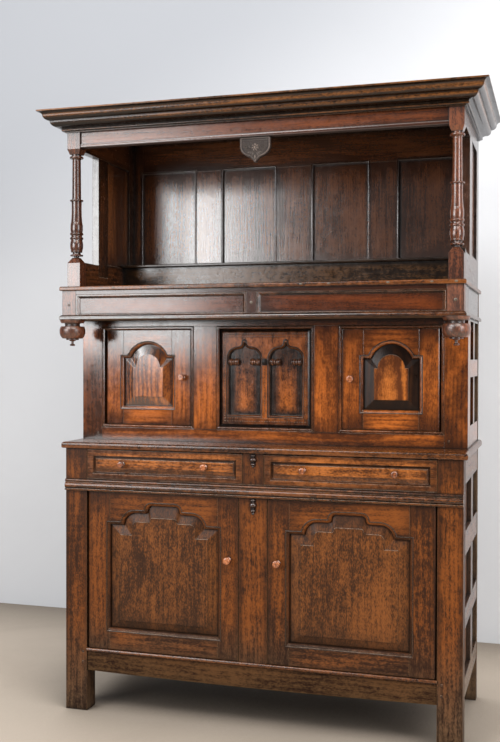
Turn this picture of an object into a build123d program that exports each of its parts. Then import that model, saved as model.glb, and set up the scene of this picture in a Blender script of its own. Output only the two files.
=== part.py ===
from build123d import *
import os
from math import asin, atan, cos, degrees, hypot, radians, sin, sqrt, tan

# A joined oak court cupboard in three tiers: a base with two drawers over two doors, a set-back
# middle cupboard with a door each side of a fixed arcaded panel, and an open canopied top.
# Millimetres. X runs to the right, Y to the back and Z up. The origin is on the floor, under the
# middle of the whole cupboard's width and depth, the cornice included.

# ---- Whole carcase ----
carcase_width = 1314
base_depth = 530
middle_depth = 402
frieze_width = 1316
frieze_depth = 555
top_width = 1308
top_depth = 526
cornice_projection = 76

# ---- Joinery that the frames share ----
tenon_length = 24
tenon_thickness = 9
tenon_shoulder = 10
stub_tenon = 14
groove_depth = 8
groove_ease = 1
panel_thickness = 8
peg_radius = 4
peg_depth = 20
peg_stand = 0.8
peg_inset = 14
board_gap = 1
edge_slack = 0.01
board_thickness = 12
rear_rail_thickness = 26
rear_post_width = 45

# ---- Base ----
front_post_width = 77
front_post_depth = 62
apron_bottom = 130
apron_height = 82
apron_thickness = 28
apron_set = 3
apron_sag = 6
apron_bead_height = 12
apron_bead_stand = 5
base_door_opening = 526
waist_rail_height = 42
waist_rail_depth = 40
drawer_opening = 99
base_board_thickness = 21
base_board_overhang = 13
base_board_front = 9
base_board_nose = 9
base_board_ease = 5
door_muntin_width = 94
drawer_muntin_width = 70
drawer_muntin_thickness = 28
side_thickness = 28
side_panel_recess = 13
base_side_bottom = 148
base_side_low_rail = 57
base_side_low_row = 152
base_side_second_rail = 62
base_side_middle_row = 161
base_side_third_rail = 75
base_side_top_row = 145
base_side_column = 201
base_side_muntin = 65
base_back_boards = 5
base_floor_boards = 6
floor_thickness = 16
bearer_size = 22

# ---- Drawer runners and guides ----
runner_thickness = 18
runner_width = 32
guide_height = 20
guide_lift = 14
guide_gap = 2.5

# ---- Waist moulding, from its foot up ----
waist_fillet_height = 6
waist_fillet_stand = 10
waist_torus_height = 20
waist_quirk_height = 3
waist_quirk_stand = 5
waist_bead_height = 8
waist_lift = 4

# ---- Doors ----
door_gap = 2
pin_radius = 4
pin_clearance = 0.08
pin_reach = 22
pin_end_gap = 1.5
tongue_thickness = 6
tongue_depth = 13
sight_width = 9
sight_quirk = 1.5
sight_depth = 10
field_depth = 4
field_step = 2
base_door_thickness = 24
base_hinge_stile = 82
base_latch_stile = 70
base_door_bottom_rail = 71
base_door_crown_rail = 41
base_crown_half = 41
base_ogee = 13
base_lobe = 41
base_lobe_half = 140
base_field_inset = 35
base_field_drop = 39
base_field_bottom = 27
base_field_shoulder_drop = 32
base_field_crown_half = 39
base_field_ogee = 7.5
base_field_lobe = 18
base_field_lobe_inset = 29
base_knob_height = 536

# ---- Middle doors ----
middle_door_thickness = 22
middle_door_recess = 2
middle_door_stile = 68
middle_door_bottom_rail = 63
middle_door_crown_rail = 49
middle_arch_radius = 69
middle_arch_rise = 47
middle_field_inset = 34
middle_field_bottom = 31
middle_field_drop = 33
middle_field_radius = 43.5
middle_knob_height = 1116

# ---- Knobs and turn-catches ----
base_knob_inset = 33
middle_knob_inset = 28
knob_radius = 11
knob_neck = 6
knob_foot = 8.5
knob_length = 27
knob_foot_height = 4
knob_neck_height = 4
knob_band = 5
knob_crown = 2
knob_stand_off = 0.3
spindle_radius = 4
spindle_clearance = 0.08
catch_thickness = 9
catch_width = 20
catch_overlap = 12
catch_clearance = 1

# ---- Drawers ----
drawer_gap = 1.5
drawer_top_gap = 3
drawer_front_thickness = 24
drawer_border = 20
drawer_border_bottom = 15
drawer_border_top = 20
drawer_lip = 5
drawer_pocket = 7
drawer_field_inset = 11
drawer_field_lift = 19
drawer_field_drop = 10
drawer_field_depth = 1
drawer_back_gap = 28
drawer_side_thickness = 12
drawer_side_inset = 4
drawer_side_drop = 8
drawer_bottom_thickness = 8
drawer_bottom_lift = 10
drawer_groove = 6
drawer_lap = 12
drawer_knob_spread = 144
drawer_knob_radius = 10
drawer_knob_length = 24
drawer_knob_tenon = 13

# ---- Split turnings on the base muntins ----
drop_radius = 13
drop_height = 41
long_drop_height = 50
drop_cap_radius = 8
drop_neck_radius = 4
drop_button_radius = 4.5
drop_ring = 3
drop_bulb_share = 0.27
drop_stem_share = 0.2
drop_lift = 4

# ---- Middle tier ----
middle_post_width = 72
middle_post_depth = 77
middle_frame_thickness = 25
middle_bottom_rail = 43
middle_opening = 345
middle_soffit_rail = 21
middle_muntin_inner = 167
middle_muntin_width = 81
head_peg_rise = 15.5
bead_width = 10
bead_stand = 3
bead_round = 3
middle_side_thickness = 25
middle_side_bottom_rail = 68
middle_side_low_row = 154
middle_side_middle_rail = 56
middle_side_top_row = 122
middle_side_column = 115
middle_side_muntin = 46
middle_rear_post_depth = 40
middle_rear_rail = 60
middle_back_boards = 5
middle_bearer_height = 24

# ---- Centre panel and its arcade ----
centre_board_set = 2
centre_board_thickness = 12
centre_ground_thickness = 8
centre_chamfer = 12
centre_chamfer_depth = 7
arch_mullion = 34
arch_width = 108
arch_foot = 41
arch_spring = 227
arch_round = 32
arch_point = 0.6
arch_edge = 4
bobbin_length = 34
bobbin_radius = 9.5
bobbin_waist = 6
bobbin_ring = 5
bobbin_bead = 4
bobbin_stand = 7.5
bobbin_drop = 11
boss_radius = 9
boss_stand = 5

# ---- Frieze ----
frieze_height = 95
frieze_post_size = 50
frieze_frame_thickness = 22
frieze_rail_height = 14
frieze_rail_shoulder = 2
frieze_block_width = 34
frieze_groove = 5
frieze_panel_recess = 8
frieze_border_side = 13
frieze_border_bottom = 5
frieze_border_top = 12
frieze_border_face = 0.4
frieze_border_set = 1
frieze_moulding_height = 14
frieze_moulding_stand = 8
frieze_moulding_fillet = 4
frieze_side_thickness = 18
soffit_thickness = 12
top_board_thickness = 14
top_board_overhang = 7
top_board_front = 8
top_board_nose = 5
top_board_ease = 3
top_board_count = 3

# ---- Turned pendants, down from the frieze's underside ----
pendant_cap_radius = 42
pendant_cap_height = 12
pendant_cap_foot = 37
pendant_neck_radius = 26
pendant_neck_height = 11
pendant_ball_radius = 42.5
pendant_ball_shoulder = 38
pendant_ball_foot = 33
pendant_ball_upper = 18
pendant_ball_lower = 22
pendant_step_radius = 21
pendant_step_height = 5
pendant_ogee_radius = 8
pendant_ogee_height = 4
pendant_stem_radius = 4
pendant_stem_height = 9
pendant_button_radius = 9
pendant_button_height = 7

# ---- Top tier ----
top_height = 582
top_post_size = 46
post_lower_block = 100
post_upper_block = 125
post_low_taper = 13
post_low_taper_height = 19
post_high_taper = 6
post_high_taper_height = 17
top_rail_height = 104
top_rail_thickness = 22
top_rail_set = 7
top_rail_bead = 11
top_rail_bead_stand = 3
canopy_board_count = 4
top_side_thickness = 24
top_side_gap = 146
top_front_stile = 75
top_rear_stile = 69
top_low_board = 97
top_low_dip = 8
top_low_slope = 50
top_panel_recess = 9

# ---- Turned shafts of the top posts, from the lower block up ----
post_neck_radius = 8
post_neck_height = 5
post_ring_radius = 20
post_ring_height = 5
post_cup_rim = 15
post_cup_radius = 13
post_cup_height = 8
post_vase_foot = 18
post_vase_foot_height = 5
post_vase_shoulder = 19
post_vase_height = 36
post_fillet_radius = 19
post_fillet_height = 2
post_band_radius = 20
post_band_height = 8
post_band_gap = 7
post_swell_radius = 20.5
post_swell_height = 35
post_taper_start = 18.5
post_taper_radius = 17
post_taper_height = 70
post_collar_radius = 21
post_collar_height = 5
post_shaft_radius = 15
post_shaft_top_radius = 14
post_cap_radius = 21
post_cap_height = 7
post_cap_neck = 16
post_cap_neck_height = 6

# ---- Panelled back of the top tier ----
back_frame_thickness = 26
back_stile_width = 38
back_centre_muntin = 144
back_inner_panel = 199
back_muntin = 112
back_top_rail = 111
back_bottom_rail = 112
back_panel_recess = 8
ledge_depth = 110
ledge_top = 107
ledge_thickness = 11
ledge_nosing = 12
riser_thickness = 16

# ---- Cornice, from its top down ----
cornice_height = 66
cornice_fillet = 5
cornice_step = 2
cornice_cove_run = 13
cornice_cove_drop = 10
cornice_ovolo_run = 14
cornice_ovolo_drop = 14
cornice_quirk_run = 4
cornice_quirk_drop = 4
cornice_lower_run = 14
cornice_lower_drop = 15
cornice_scotia_run = 17
cornice_scotia_drop = 5
cornice_bead = 8
cornice_foot = 6

# ---- Shield plaque ----
shield_half_width = 50
shield_thickness = 16
shield_inset = 3
shield_side = 31
shield_waist_half = 36
shield_waist = 55
shield_point_half = 20
shield_point = 62
shield_tip_half = 3
shield_tip = 80
shield_tongue = 12
shield_tongue_thickness = 6
shield_tongue_half = 30

# ---- Planes worked out from the sizes above ----
groove_slack = groove_depth + groove_ease
back_y = (top_depth + cornice_projection) / 2
base_front = back_y - base_depth
middle_front = back_y - middle_depth
frieze_front = back_y - frieze_depth
top_front = back_y - top_depth
board_face = back_y - board_thickness
rail_face = board_face - rear_rail_thickness
half_width = carcase_width / 2
frieze_half = frieze_width / 2
top_half = top_width / 2
apron_top = apron_bottom + apron_height
waist_bottom = apron_top + base_door_opening
waist_top = waist_bottom + waist_rail_height
drawer_top = waist_top + drawer_opening
base_top = drawer_top + base_board_thickness
middle_sill = base_top + middle_bottom_rail
middle_head = middle_sill + middle_opening
middle_top = middle_head + middle_soffit_rail
frieze_top = middle_top + frieze_height
shelf_top = frieze_top + top_board_thickness
cupboard_top = shelf_top + top_height
canopy_underside = cupboard_top - board_thickness
top_rail_bottom = canopy_underside - top_rail_height
post_inner = half_width - front_post_width
middle_inner = half_width - middle_post_width
rear_inner = half_width - rear_post_width


# ---- Helpers: spans and plain pieces ----
def wider(span, by):
    """A (low, high) pair let out at both ends."""
    return (span[0] - by, span[1] + by)


def stack(start, *sizes):
    """The (low, high) pairs of sizes laid end to end from a start."""
    spans = []
    for size in sizes:
        spans.append((start, start + size))
        start += size
    return spans


def block(x, y, z):
    """A rectangular piece from its (low, high) pair along each axis."""
    middles = [(low + high) / 2 for low, high in (x, y, z)]
    return Pos(*middles) * Box(x[1] - x[0], y[1] - y[0], z[1] - z[0])


def tenons(x, y, z, along, thin, length=tenon_length, shoulder=tenon_shoulder):
    """The bar that makes a tenon at both ends of a rail, from axis numbers along and thin."""
    spans = [x, y, z]
    wide = 3 - along - thin
    middle = sum(spans[thin]) / 2
    spans[thin] = wider((middle, middle), tenon_thickness / 2)
    spans[wide] = wider(spans[wide], -shoulder)
    spans[along] = wider(spans[along], length)
    return block(*spans)


def member(x, y, z, along, thin, length=tenon_length, shoulder=tenon_shoulder):
    """A rail, stile or muntin with a tenon at both ends."""
    return block(x, y, z) + tenons(x, y, z, along, thin, length, shoulder)


def cut(piece, *cutters):
    """The piece less every cutter."""
    for cutter in cutters:
        piece = piece - cutter
    return piece


def flipped(shape):
    """The same shape on the other side of the cupboard."""
    return mirror(shape, about=Plane.YZ)


def both(*shapes):
    """Right-hand shapes with their left-hand twins."""
    return [*shapes, *[flipped(shape) for shape in shapes]]


def save(name, *pieces):
    """Write the pieces' solids as one STEP file."""
    export_step(Compound([solid for piece in pieces for solid in piece.solids()]), f"parts/{name}.step")


def boards(count, x, y, z, axis):
    """Boards side by side along an axis number, with a hair of space between them."""
    spans = [x, y, z]
    low, high = spans[axis]
    pitch = (high - low + board_gap) / count
    laid = []
    for number in range(count):
        spans[axis] = (low + number * pitch, low + (number + 1) * pitch - board_gap)
        laid.append(block(*spans))
    return laid


# ---- Helpers: outlines and the solids made from them ----
def outline(*points):
    """A closed counter-clockwise face; a point's third number is the turn of the arc to it."""
    edges = []
    for last, here in zip(points[-1:] + points[:-1], points):
        start, end = (last[0], last[1]), (here[0], here[1])
        turn = here[2] if len(here) > 2 else 0
        if turn:
            chord = hypot(end[0] - start[0], end[1] - start[1])
            edges.append(SagittaArc(start, end, -chord * tan(radians(turn / 4)) / 2))
        else:
            edges.append(Line(start, end))
    return make_face(Wire(edges))


def symmetric(centre, crown_turn, *points):
    """Right-hand points, low to high, as (offset, height, turn), and the same on the left."""
    turns = [point[2] if len(point) > 2 else 0 for point in points]
    right = [(centre + point[0], point[1], turn) for point, turn in zip(points, turns)]
    back_turns = [crown_turn] + turns[:0:-1]
    left = [(centre - point[0], point[1], turn) for point, turn in zip(points[::-1], back_turns)]
    return outline(*right, *left)


def corners(x, z):
    """The four corners of a rectangle, counter-clockwise."""
    return [(x[0], z[0]), (x[1], z[0]), (x[1], z[1]), (x[0], z[1])]


def rectangle(x, z):
    """A rectangular face from its spans."""
    return outline(*corners(x, z))


def front_solid(face, y):
    """A front-view outline, in (X, Z), as a solid between two depths."""
    return Pos(0, y[1], 0) * extrude(Plane.XZ * face, y[1] - y[0])


def side_solid(face, x):
    """A side-view outline, in (Y, Z), as a solid between two places across."""
    return Pos(x[0], 0, 0) * extrude(Plane.YZ * face, x[1] - x[0])


def plan_solid(face, z):
    """A plan outline, in (X, Y), as a solid between two heights."""
    return Pos(0, 0, z[0]) * extrude(face, z[1] - z[0])


def tapered(face_a, y_a, face_b, y_b):
    """A straight-sided solid between two front-view outlines at two depths."""
    sections = [(Pos(0, y, 0) * (Plane.XZ * face)).face() for face, y in ((face_a, y_a), (face_b, y_b))]
    return loft(sections, ruled=True)


def ring(outer_x, outer_z, inner_x, inner_z):
    """The front-view outlines of four mitred strips between two rectangles."""
    outer, inner = corners(outer_x, outer_z), corners(inner_x, inner_z)
    return [outline(outer[n], outer[(n + 1) % 4], inner[(n + 1) % 4], inner[n]) for n in range(4)]


def bead_strips(x, z, y_back, y_front):
    """Four mitred strips lining a rectangular opening, with their front arrises eased."""
    whole = ring(x, z, wider(x, -bead_width), wider(z, -bead_width))
    near, far = bead_round, bead_width - bead_round
    narrow = ring(wider(x, -near), wider(z, -near), wider(x, -far), wider(z, -far))
    strips = []
    for face, small in zip(whole, narrow):
        body = front_solid(face, (y_front + bead_stand, y_back))
        strips.append(body + tapered(face, y_front + bead_stand, small, y_front))
    return strips


def falling(out, height, *steps):
    """Moulding points as (projection, height, turn), from its top by (run, drop, turn) steps."""
    points = [(out, height, 0)]
    for run, drop, turn in steps:
        out, height = out - run, height - drop
        points.append((out, height, turn))
    return points


def moulding_face(line, profile):
    """A moulding's section, standing out from a line at its back."""
    low, high = profile[-1][1], profile[0][1]
    return outline((line, low), (line, high), *[(line - out, height, turn) for out, height, turn in profile])


def mitred_run(half, front_y, profile):
    """A moulding round the front and both sides, mitred at the front corners."""
    low, high = profile[-1][1], profile[0][1]
    reach = max(point[0] for point in profile)
    front, side = moulding_face(front_y, profile), moulding_face(-half, profile)
    corner = (-half - reach, front_y - reach)
    front_plan = outline(corner, (-corner[0], corner[1]), (half, front_y), (-half, front_y))
    side_plan = outline(corner, (-half, front_y), (-half, back_y), (corner[0], back_y))
    front_piece = side_solid(front, (corner[0], -corner[0])) & plan_solid(front_plan, (low, high))
    side_piece = front_solid(side, (corner[1], back_y)) & plan_solid(side_plan, (low, high))
    return [front_piece, *both(side_piece)]


def edges_at(edges, axis, place):
    """The edges that lie at one place along an axis."""
    return edges.filter_by_position(axis, place - edge_slack, place + edge_slack)


def nosed_board(x, y, z, top_radius, bottom_radius):
    """A board with its front and end edges rounded."""
    board = block(x, y, z)
    for height, radius in ((z[1], top_radius), (z[0], bottom_radius)):
        level = edges_at(board.edges(), Axis.Z, height)
        board = fillet(level.filter_by(lambda edge: edge.center().Y < y[1] - radius), radius)
    return board


def stacked(start, *steps):
    """Profile points that climb from a height by (rise, radius, turn) steps."""
    points = []
    for step in steps:
        start += step[0]
        points.append((step[1], start, *step[2:]))
    return points


def turned(x, y, points):
    """A piece turned about an upright line from (radius, height, turn) points, bottom up."""
    face = outline((0, points[0][1]), *points, (0, points[-1][1]))
    return Pos(x, y, 0) * revolve(Plane.XZ * face, Axis.Z)


def turned_forward(x, y, z, points):
    """A piece turned about a line to the front, from (radius, distance, turn) points."""
    face = outline((0, points[0][1]), *points, (0, points[-1][1]))
    return Pos(x, y, z) * Rot(90, 0, 0) * revolve(Plane.XZ * face, Axis.Z)


def upright_rod(x, y, z, radius):
    """A round rod between two heights."""
    return Pos(x, y, sum(z) / 2) * Cylinder(radius, z[1] - z[0])


def forward_rod(x, y, z, radius):
    """A round rod between two depths."""
    return Pos(x, sum(y) / 2, z) * Rot(90, 0, 0) * Cylinder(radius, y[1] - y[0])


def peg(x, z, face_y):
    """An oak peg driven in from the front, its head just proud."""
    return forward_rod(x, (face_y - peg_stand, face_y + peg_depth), z, peg_radius)


# ---- Helpers: doors ----
def stepped_head(centre, half, bottom, shoulder, flat, lobe_half, lobe, crown_half, ogee, grow=0):
    """A panel outline whose head climbs from shoulders by a round lobe and an ogee to a crown."""
    middle_x, middle_z, radius = lobe_half - lobe, flat - lobe, lobe + grow
    straight = middle_z - shoulder - grow
    if straight > 1:
        edge = lobe_half + grow
        lobe_points = [(edge, shoulder + grow), (edge, middle_z), (middle_x, flat + grow, 90)]
    else:
        first = degrees(asin(-straight / radius))
        half_turn = (90 - first) / 2
        angles = [radians(angle) for angle in (first, first + half_turn, 90)]
        places = [(middle_x + radius * cos(angle), middle_z + radius * sin(angle)) for angle in angles]
        lobe_points = [places[0], (*places[1], half_turn), (*places[2], half_turn)]
    crown = flat + 2 * ogee
    foot = [(half + grow, bottom - grow), (half + grow, shoulder + grow)]
    hollow = [(crown_half + 2 * ogee, flat + grow), (crown_half + ogee + grow, flat + ogee, -90)]
    return symmetric(centre, 0, *foot, *lobe_points, *hollow, (crown_half, crown + grow, 90))


def arched_head(centre, half, bottom, shoulder, radius, rise, grow=0):
    """A panel outline with a round arch of the given radius and rise over its shoulders."""
    below = radius - rise
    spring = sqrt((radius + grow) ** 2 - (below + grow) ** 2)
    turn = 2 * degrees(asin(min(spring / (radius + grow), 1)))
    foot = [(half + grow, bottom - grow), (half + grow, shoulder + grow)]
    return symmetric(centre, turn, *foot, (spring, shoulder + grow))


def sight_moulding(shape, face_y):
    """The cutters that run an ovolo with a quirk round a panel opening."""
    radius = sight_depth - sight_quirk
    steps = [(sight_width, sight_quirk)]
    for angle in (60, 30, 0):
        across = (sight_width - radius * cos(radians(angle))) if angle else 0
        steps.append((across, sight_depth - radius * sin(radians(angle))))
    cutters = [front_solid(shape(sight_width), (face_y - 1, face_y + sight_quirk))]
    for (grow_a, depth_a), (grow_b, depth_b) in zip(steps, steps[1:]):
        cutters.append(tapered(shape(grow_a), face_y + depth_a, shape(grow_b), face_y + depth_b))
    return cutters


def framed_door(x, z, face_y, thickness, stiles, rails, shoulder, sight, field, knob):
    """The right-hand door of a pair, as its frame and its panel, and the line its pins turn on."""
    bottom_rail, crown_rail = rails
    back = face_y + thickness
    latch_stile, hinge_stile = stiles
    axis_x, axis_y = x[1] - thickness / 2, face_y + thickness / 2
    inner = (x[0] + latch_stile, x[1] - hinge_stile)
    hinge_plan = outline((inner[1], face_y), (axis_x, face_y), (axis_x, back, 180), (inner[1], back))
    hinge = plan_solid(hinge_plan, z)
    shut = block((x[0], inner[0]), (face_y, back), z)
    lower = member(inner, (face_y, back), (z[0], z[0] + bottom_rail), 0, 1)
    upper = member(inner, (face_y, back), (shoulder, z[1]), 0, 1)
    tongue_y = (face_y + tongue_depth, face_y + tongue_depth + tongue_thickness)
    tongue_z = (z[0] + bottom_rail, z[1] - crown_rail)
    tongue = block(wider(inner, groove_depth), tongue_y, wider(tongue_z, groove_depth))
    groove = block(wider(inner, groove_slack), tongue_y, wider(tongue_z, groove_slack))
    opening = front_solid(sight(0), (face_y - 1, back + 1))
    cutters = [groove, opening, *sight_moulding(sight, face_y)]
    hole_depth = pin_reach + pin_end_gap
    for hole_z in ((z[0] - 1, z[0] + hole_depth), (z[1] - hole_depth, z[1] + 1)):
        cutters.append(upright_rod(axis_x, axis_y, hole_z, pin_radius + pin_clearance))
    hole = forward_rod(knob[0], (face_y - 1, back + 1), knob[1], spindle_radius + spindle_clearance)
    frame = [cut(hinge, lower, upper, *cutters), cut(shut, lower, upper, hole, *cutters)]
    frame += [cut(rail, *cutters) for rail in (lower, upper)]
    bevel = tapered(sight(0), tongue_y[0], field, face_y + field_depth + field_step)
    raised = front_solid(field, (face_y + field_depth, face_y + field_depth + field_step))
    return frame, tongue + bevel + raised, (axis_x, axis_y)


def pins(axis, z, gap):
    """The two fixed pins that a door turns on, through whatever lies in the gap."""
    low = (z[0] - gap - pin_reach, z[0] + pin_reach)
    high = (z[1] - pin_reach, z[1] + gap + pin_reach)
    return [upright_rod(*axis, span, pin_radius) for span in (low, high)]


def knob_points(start, radius, length):
    """A turned knob's profile: a foot, a neck and a flattened ball."""
    ball = length - knob_foot_height - knob_neck_height - knob_band - knob_crown
    return stacked(
        start, (0, knob_foot), (knob_foot_height / 2, knob_foot), (knob_foot_height / 2, knob_neck),
        (knob_neck_height, knob_neck), (ball, radius, 70), (knob_band, radius, 30),
        (knob_crown, radius / 2, 60))


def latch(x, z, face_y, catch_front, reach):
    """A knob on its spindle and the catch behind, which hangs clear until the knob is turned."""
    catch_back = catch_front + catch_thickness
    spindle = forward_rod(x, (face_y - knob_stand_off - knob_neck, catch_back), z, spindle_radius)
    knob = turned_forward(x, face_y - knob_stand_off, z, knob_points(0, knob_radius, knob_length))
    half = catch_width / 2
    tip = z - reach + half
    bar = outline((x - half, z, 180), (x - half, tip), (x + half, tip, 180), (x + half, z))
    return [knob + spindle, front_solid(bar, (catch_front, catch_back)) - spindle]


# ---- Base: posts, front rails and muntins ----
post_z = (0, drawer_top)
front_post = block((post_inner, half_width), (base_front, base_front + front_post_depth), post_z)
rear_post = block((rear_inner, half_width), (rail_face, back_y), post_z)
front_span = (-post_inner, post_inner)

apron_y = (base_front + apron_set, base_front + apron_set + apron_thickness)
apron_low = apron_bottom + apron_sag
sag_turn = degrees(4 * atan(apron_sag / post_inner))
apron_face = outline((-post_inner, apron_low), (post_inner, apron_low, sag_turn),
                     (post_inner, apron_top), (-post_inner, apron_top))
apron = front_solid(apron_face, apron_y) + tenons(front_span, apron_y, (apron_low, apron_top), 0, 1)
waist_y = (base_front, base_front + waist_rail_depth)
waist = member(front_span, waist_y, (waist_bottom, waist_top), 0, 1)
muntin_y = (base_front, base_front + base_door_thickness)
door_muntin_x = wider((0, 0), door_muntin_width / 2)
door_muntin = member(door_muntin_x, muntin_y, (apron_top, waist_bottom), 2, 1, stub_tenon)
drawer_muntin_y = (base_front, base_front + drawer_muntin_thickness)
drawer_muntin_x = wider((0, 0), drawer_muntin_width / 2)
drawer_muntin = member(drawer_muntin_x, drawer_muntin_y, (waist_top, drawer_top), 2, 1, stub_tenon)

# ---- Base: sides ----
side_x = (half_width - side_thickness, half_width)
base_side_y = (base_front + front_post_depth, rail_face)
layers = stack(base_side_bottom, base_side_low_rail, base_side_low_row, base_side_second_rail,
               base_side_middle_row, base_side_third_rail, base_side_top_row)
base_rail_spans = [*layers[0::2], (layers[-1][1], drawer_top)]
base_row_spans = layers[1::2]
base_muntin_y = stack(base_side_y[0], base_side_column, base_side_muntin)[1]
base_columns = [(base_side_y[0], base_muntin_y[0]), (base_muntin_y[1], base_side_y[1])]


def side_frame(x, y, muntin_y, columns, rails, rows):
    """Side rails and muntins with their panels: returns the frame, the panels and the grooves."""
    bars = [member(x, y, span, 1, 0) for span in rails]
    uprights = [member(x, muntin_y, span, 2, 0, stub_tenon) for span in rows]
    panel_x = (x[1] - side_panel_recess - panel_thickness, x[1] - side_panel_recess)
    places = [(column, row) for column in columns for row in rows]
    fills = [block(panel_x, wider(c, groove_depth), wider(r, groove_depth)) for c, r in places]
    slots = [block(panel_x, wider(c, groove_slack), wider(r, groove_slack)) for c, r in places]
    frame = [cut(bar, *uprights, *slots) for bar in bars] + [cut(upright, *slots) for upright in uprights]
    return frame, fills, [*bars, *slots]


base_frame, base_fills, base_side_cutters = side_frame(
    side_x, base_side_y, base_muntin_y, base_columns, base_rail_spans, base_row_spans)

# ---- Base: rear frame, back, floor and runners ----
rear_span = (-rear_inner, rear_inner)
rear_y = (rail_face, board_face)
rear_rail_spans = [base_rail_spans[0], (waist_bottom, waist_top), base_rail_spans[-1]]
rear_rails = [member(rear_span, rear_y, span, 0, 1) for span in rear_rail_spans]
base_back = boards(base_back_boards, rear_span, (board_face, back_y), (base_side_bottom, drawer_top), 0)

floor_y = (apron_y[1], rail_face)
floor_z = (apron_top - floor_thickness, apron_top)
bearer_z = (floor_z[0] - bearer_size, floor_z[0])
floor_x = (-side_x[0], side_x[0])
front_bearer = block(front_span, (floor_y[0], floor_y[0] + bearer_size), bearer_z)
rear_bearer = block(rear_span, (floor_y[1] - bearer_size, floor_y[1]), bearer_z)
base_floor = boards(base_floor_boards, floor_x, floor_y, floor_z, 0)
base_floor = [cut(board, *both(front_post)) for board in base_floor]

runner_y = (waist_y[1], rail_face)
runner_z = (waist_top - runner_thickness, waist_top)
outer_runner_x = (post_inner - runner_width, post_inner)
outer_runner = member(outer_runner_x, runner_y, runner_z, 1, 2, stub_tenon, tenon_shoulder / 2)
centre_runner_x = wider((0, 0), drawer_muntin_width / 2 + runner_width)
centre_runner = member(centre_runner_x, runner_y, runner_z, 1, 2, stub_tenon)
drawer_x = (drawer_muntin_width / 2 + drawer_gap, post_inner - drawer_gap)
drawer_side_line = wider(drawer_x, -drawer_side_inset)
centre_guide_x = wider((0, 0), drawer_side_line[0] - guide_gap)
centre_guide = block(centre_guide_x, runner_y, (waist_top, waist_top + guide_height))
guide_z = (waist_top + guide_lift, waist_top + guide_lift + guide_height)
outer_guide = block((drawer_side_line[1] + guide_gap, side_x[0]), base_side_y, guide_z)

# ---- Base: top board, mouldings and split turnings ----
base_board_x = wider((-half_width, half_width), base_board_overhang)
base_board_y = (base_front - base_board_front, back_y)
base_board_z = (drawer_top, base_top)
base_board = nosed_board(base_board_x, base_board_y, base_board_z, base_board_nose, base_board_ease)

waist_step = waist_quirk_stand - waist_fillet_stand
waist_profile = falling(
    waist_quirk_stand, waist_top - waist_lift, (0, waist_bead_height, 160), (0, waist_quirk_height, 0),
    (0, waist_torus_height, 130), (waist_step, 0, 0), (0, waist_fillet_height, 0))
waist_moulding = side_solid(moulding_face(base_front, waist_profile), (-half_width, half_width))
apron_bead_profile = falling(apron_bead_stand, apron_top, (0, apron_bead_height, 120))
apron_bead = side_solid(moulding_face(apron_y[0], apron_bead_profile), front_span)


def split_drop(z_top, height, face_y):
    """Half of a turned drop, flat against the muntin."""
    bulb, stem = height * drop_bulb_share, height * drop_stem_share
    cap = height - bulb - 2 * stem - drop_ring * 5 / 2
    profile = stacked(
        z_top - height, (0, drop_button_radius / 2), (drop_ring, drop_button_radius, 90),
        (drop_ring, drop_neck_radius, 60), (bulb, drop_radius, 60), (stem, drop_radius / 2, 80),
        (drop_ring / 2, drop_neck_radius), (stem, drop_cap_radius, -50), (cap, drop_cap_radius))
    whole = turned(0, face_y, profile)
    return whole & block(wider((0, 0), half_width), (face_y - drop_radius, face_y), (z_top - height, z_top))


drops = [split_drop(drawer_top - drop_lift, drop_height, base_front),
         split_drop(waist_bottom - drop_lift, long_drop_height, base_front)]

# ---- Base doors ----
base_door_x = (door_muntin_width / 2 + door_gap, post_inner - door_gap)
base_door_z = (apron_top + door_gap, waist_bottom - door_gap)
base_sight_x = (base_door_x[0] + base_latch_stile, base_door_x[1] - base_hinge_stile)
base_centre = sum(base_sight_x) / 2
base_sight_half = base_sight_x[1] - base_centre
base_sight_low = base_door_z[0] + base_door_bottom_rail
base_crown = base_door_z[1] - base_door_crown_rail
base_flat = base_crown - 2 * base_ogee
base_shoulder = base_flat - base_lobe
base_field_flat = base_crown - base_field_drop - 2 * base_field_ogee


def base_sight(grow):
    """The shaped opening of a base door."""
    return stepped_head(base_centre, base_sight_half, base_sight_low, base_shoulder, base_flat,
                        base_lobe_half, base_lobe, base_crown_half, base_ogee, grow)


base_field = stepped_head(
    base_centre, base_sight_half - base_field_inset, base_sight_low + base_field_bottom,
    base_shoulder - base_field_shoulder_drop, base_field_flat, base_lobe_half - base_field_lobe_inset,
    base_field_lobe, base_field_crown_half, base_field_ogee)
base_stiles = (base_latch_stile, base_hinge_stile)
base_rails = (base_door_bottom_rail, base_door_crown_rail)
base_knob = (base_door_x[0] + base_knob_inset, base_knob_height)
base_door_frame, base_door_panel, base_axis = framed_door(
    base_door_x, base_door_z, base_front, base_door_thickness, base_stiles, base_rails,
    base_shoulder, base_sight, base_field, base_knob)
base_reach = base_knob_inset + door_gap + catch_overlap
base_latch = latch(*base_knob, base_front, muntin_y[1] + catch_clearance, base_reach)
base_pins = pins(base_axis, base_door_z, door_gap)

# ---- Drawers ----
drawer_z = (waist_top + board_gap, drawer_top - drawer_top_gap)
front_back = base_front + drawer_front_thickness
pocket_x = wider(drawer_x, -drawer_border)
pocket_z = (drawer_z[0] + drawer_border_bottom, drawer_z[1] - drawer_border_top)
pocket_y = base_front + drawer_pocket
field_x = wider(pocket_x, -drawer_field_inset)
field_z = (pocket_z[0] + drawer_field_lift, pocket_z[1] - drawer_field_drop)
field_y = base_front + drawer_field_depth
pocket_floor = rectangle(wider(pocket_x, -drawer_lip), wider(pocket_z, -drawer_lip))
drawer_field = rectangle(field_x, field_z)
pocket = tapered(rectangle(pocket_x, pocket_z), base_front, pocket_floor, pocket_y)
raised = tapered(pocket_floor, pocket_y, drawer_field, field_y + field_step)
raised = raised + front_solid(drawer_field, (field_y, field_y + field_step))
box_back = rail_face - drawer_back_gap
side_line_x = stack(drawer_side_line[0], drawer_side_thickness)[0]
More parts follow.
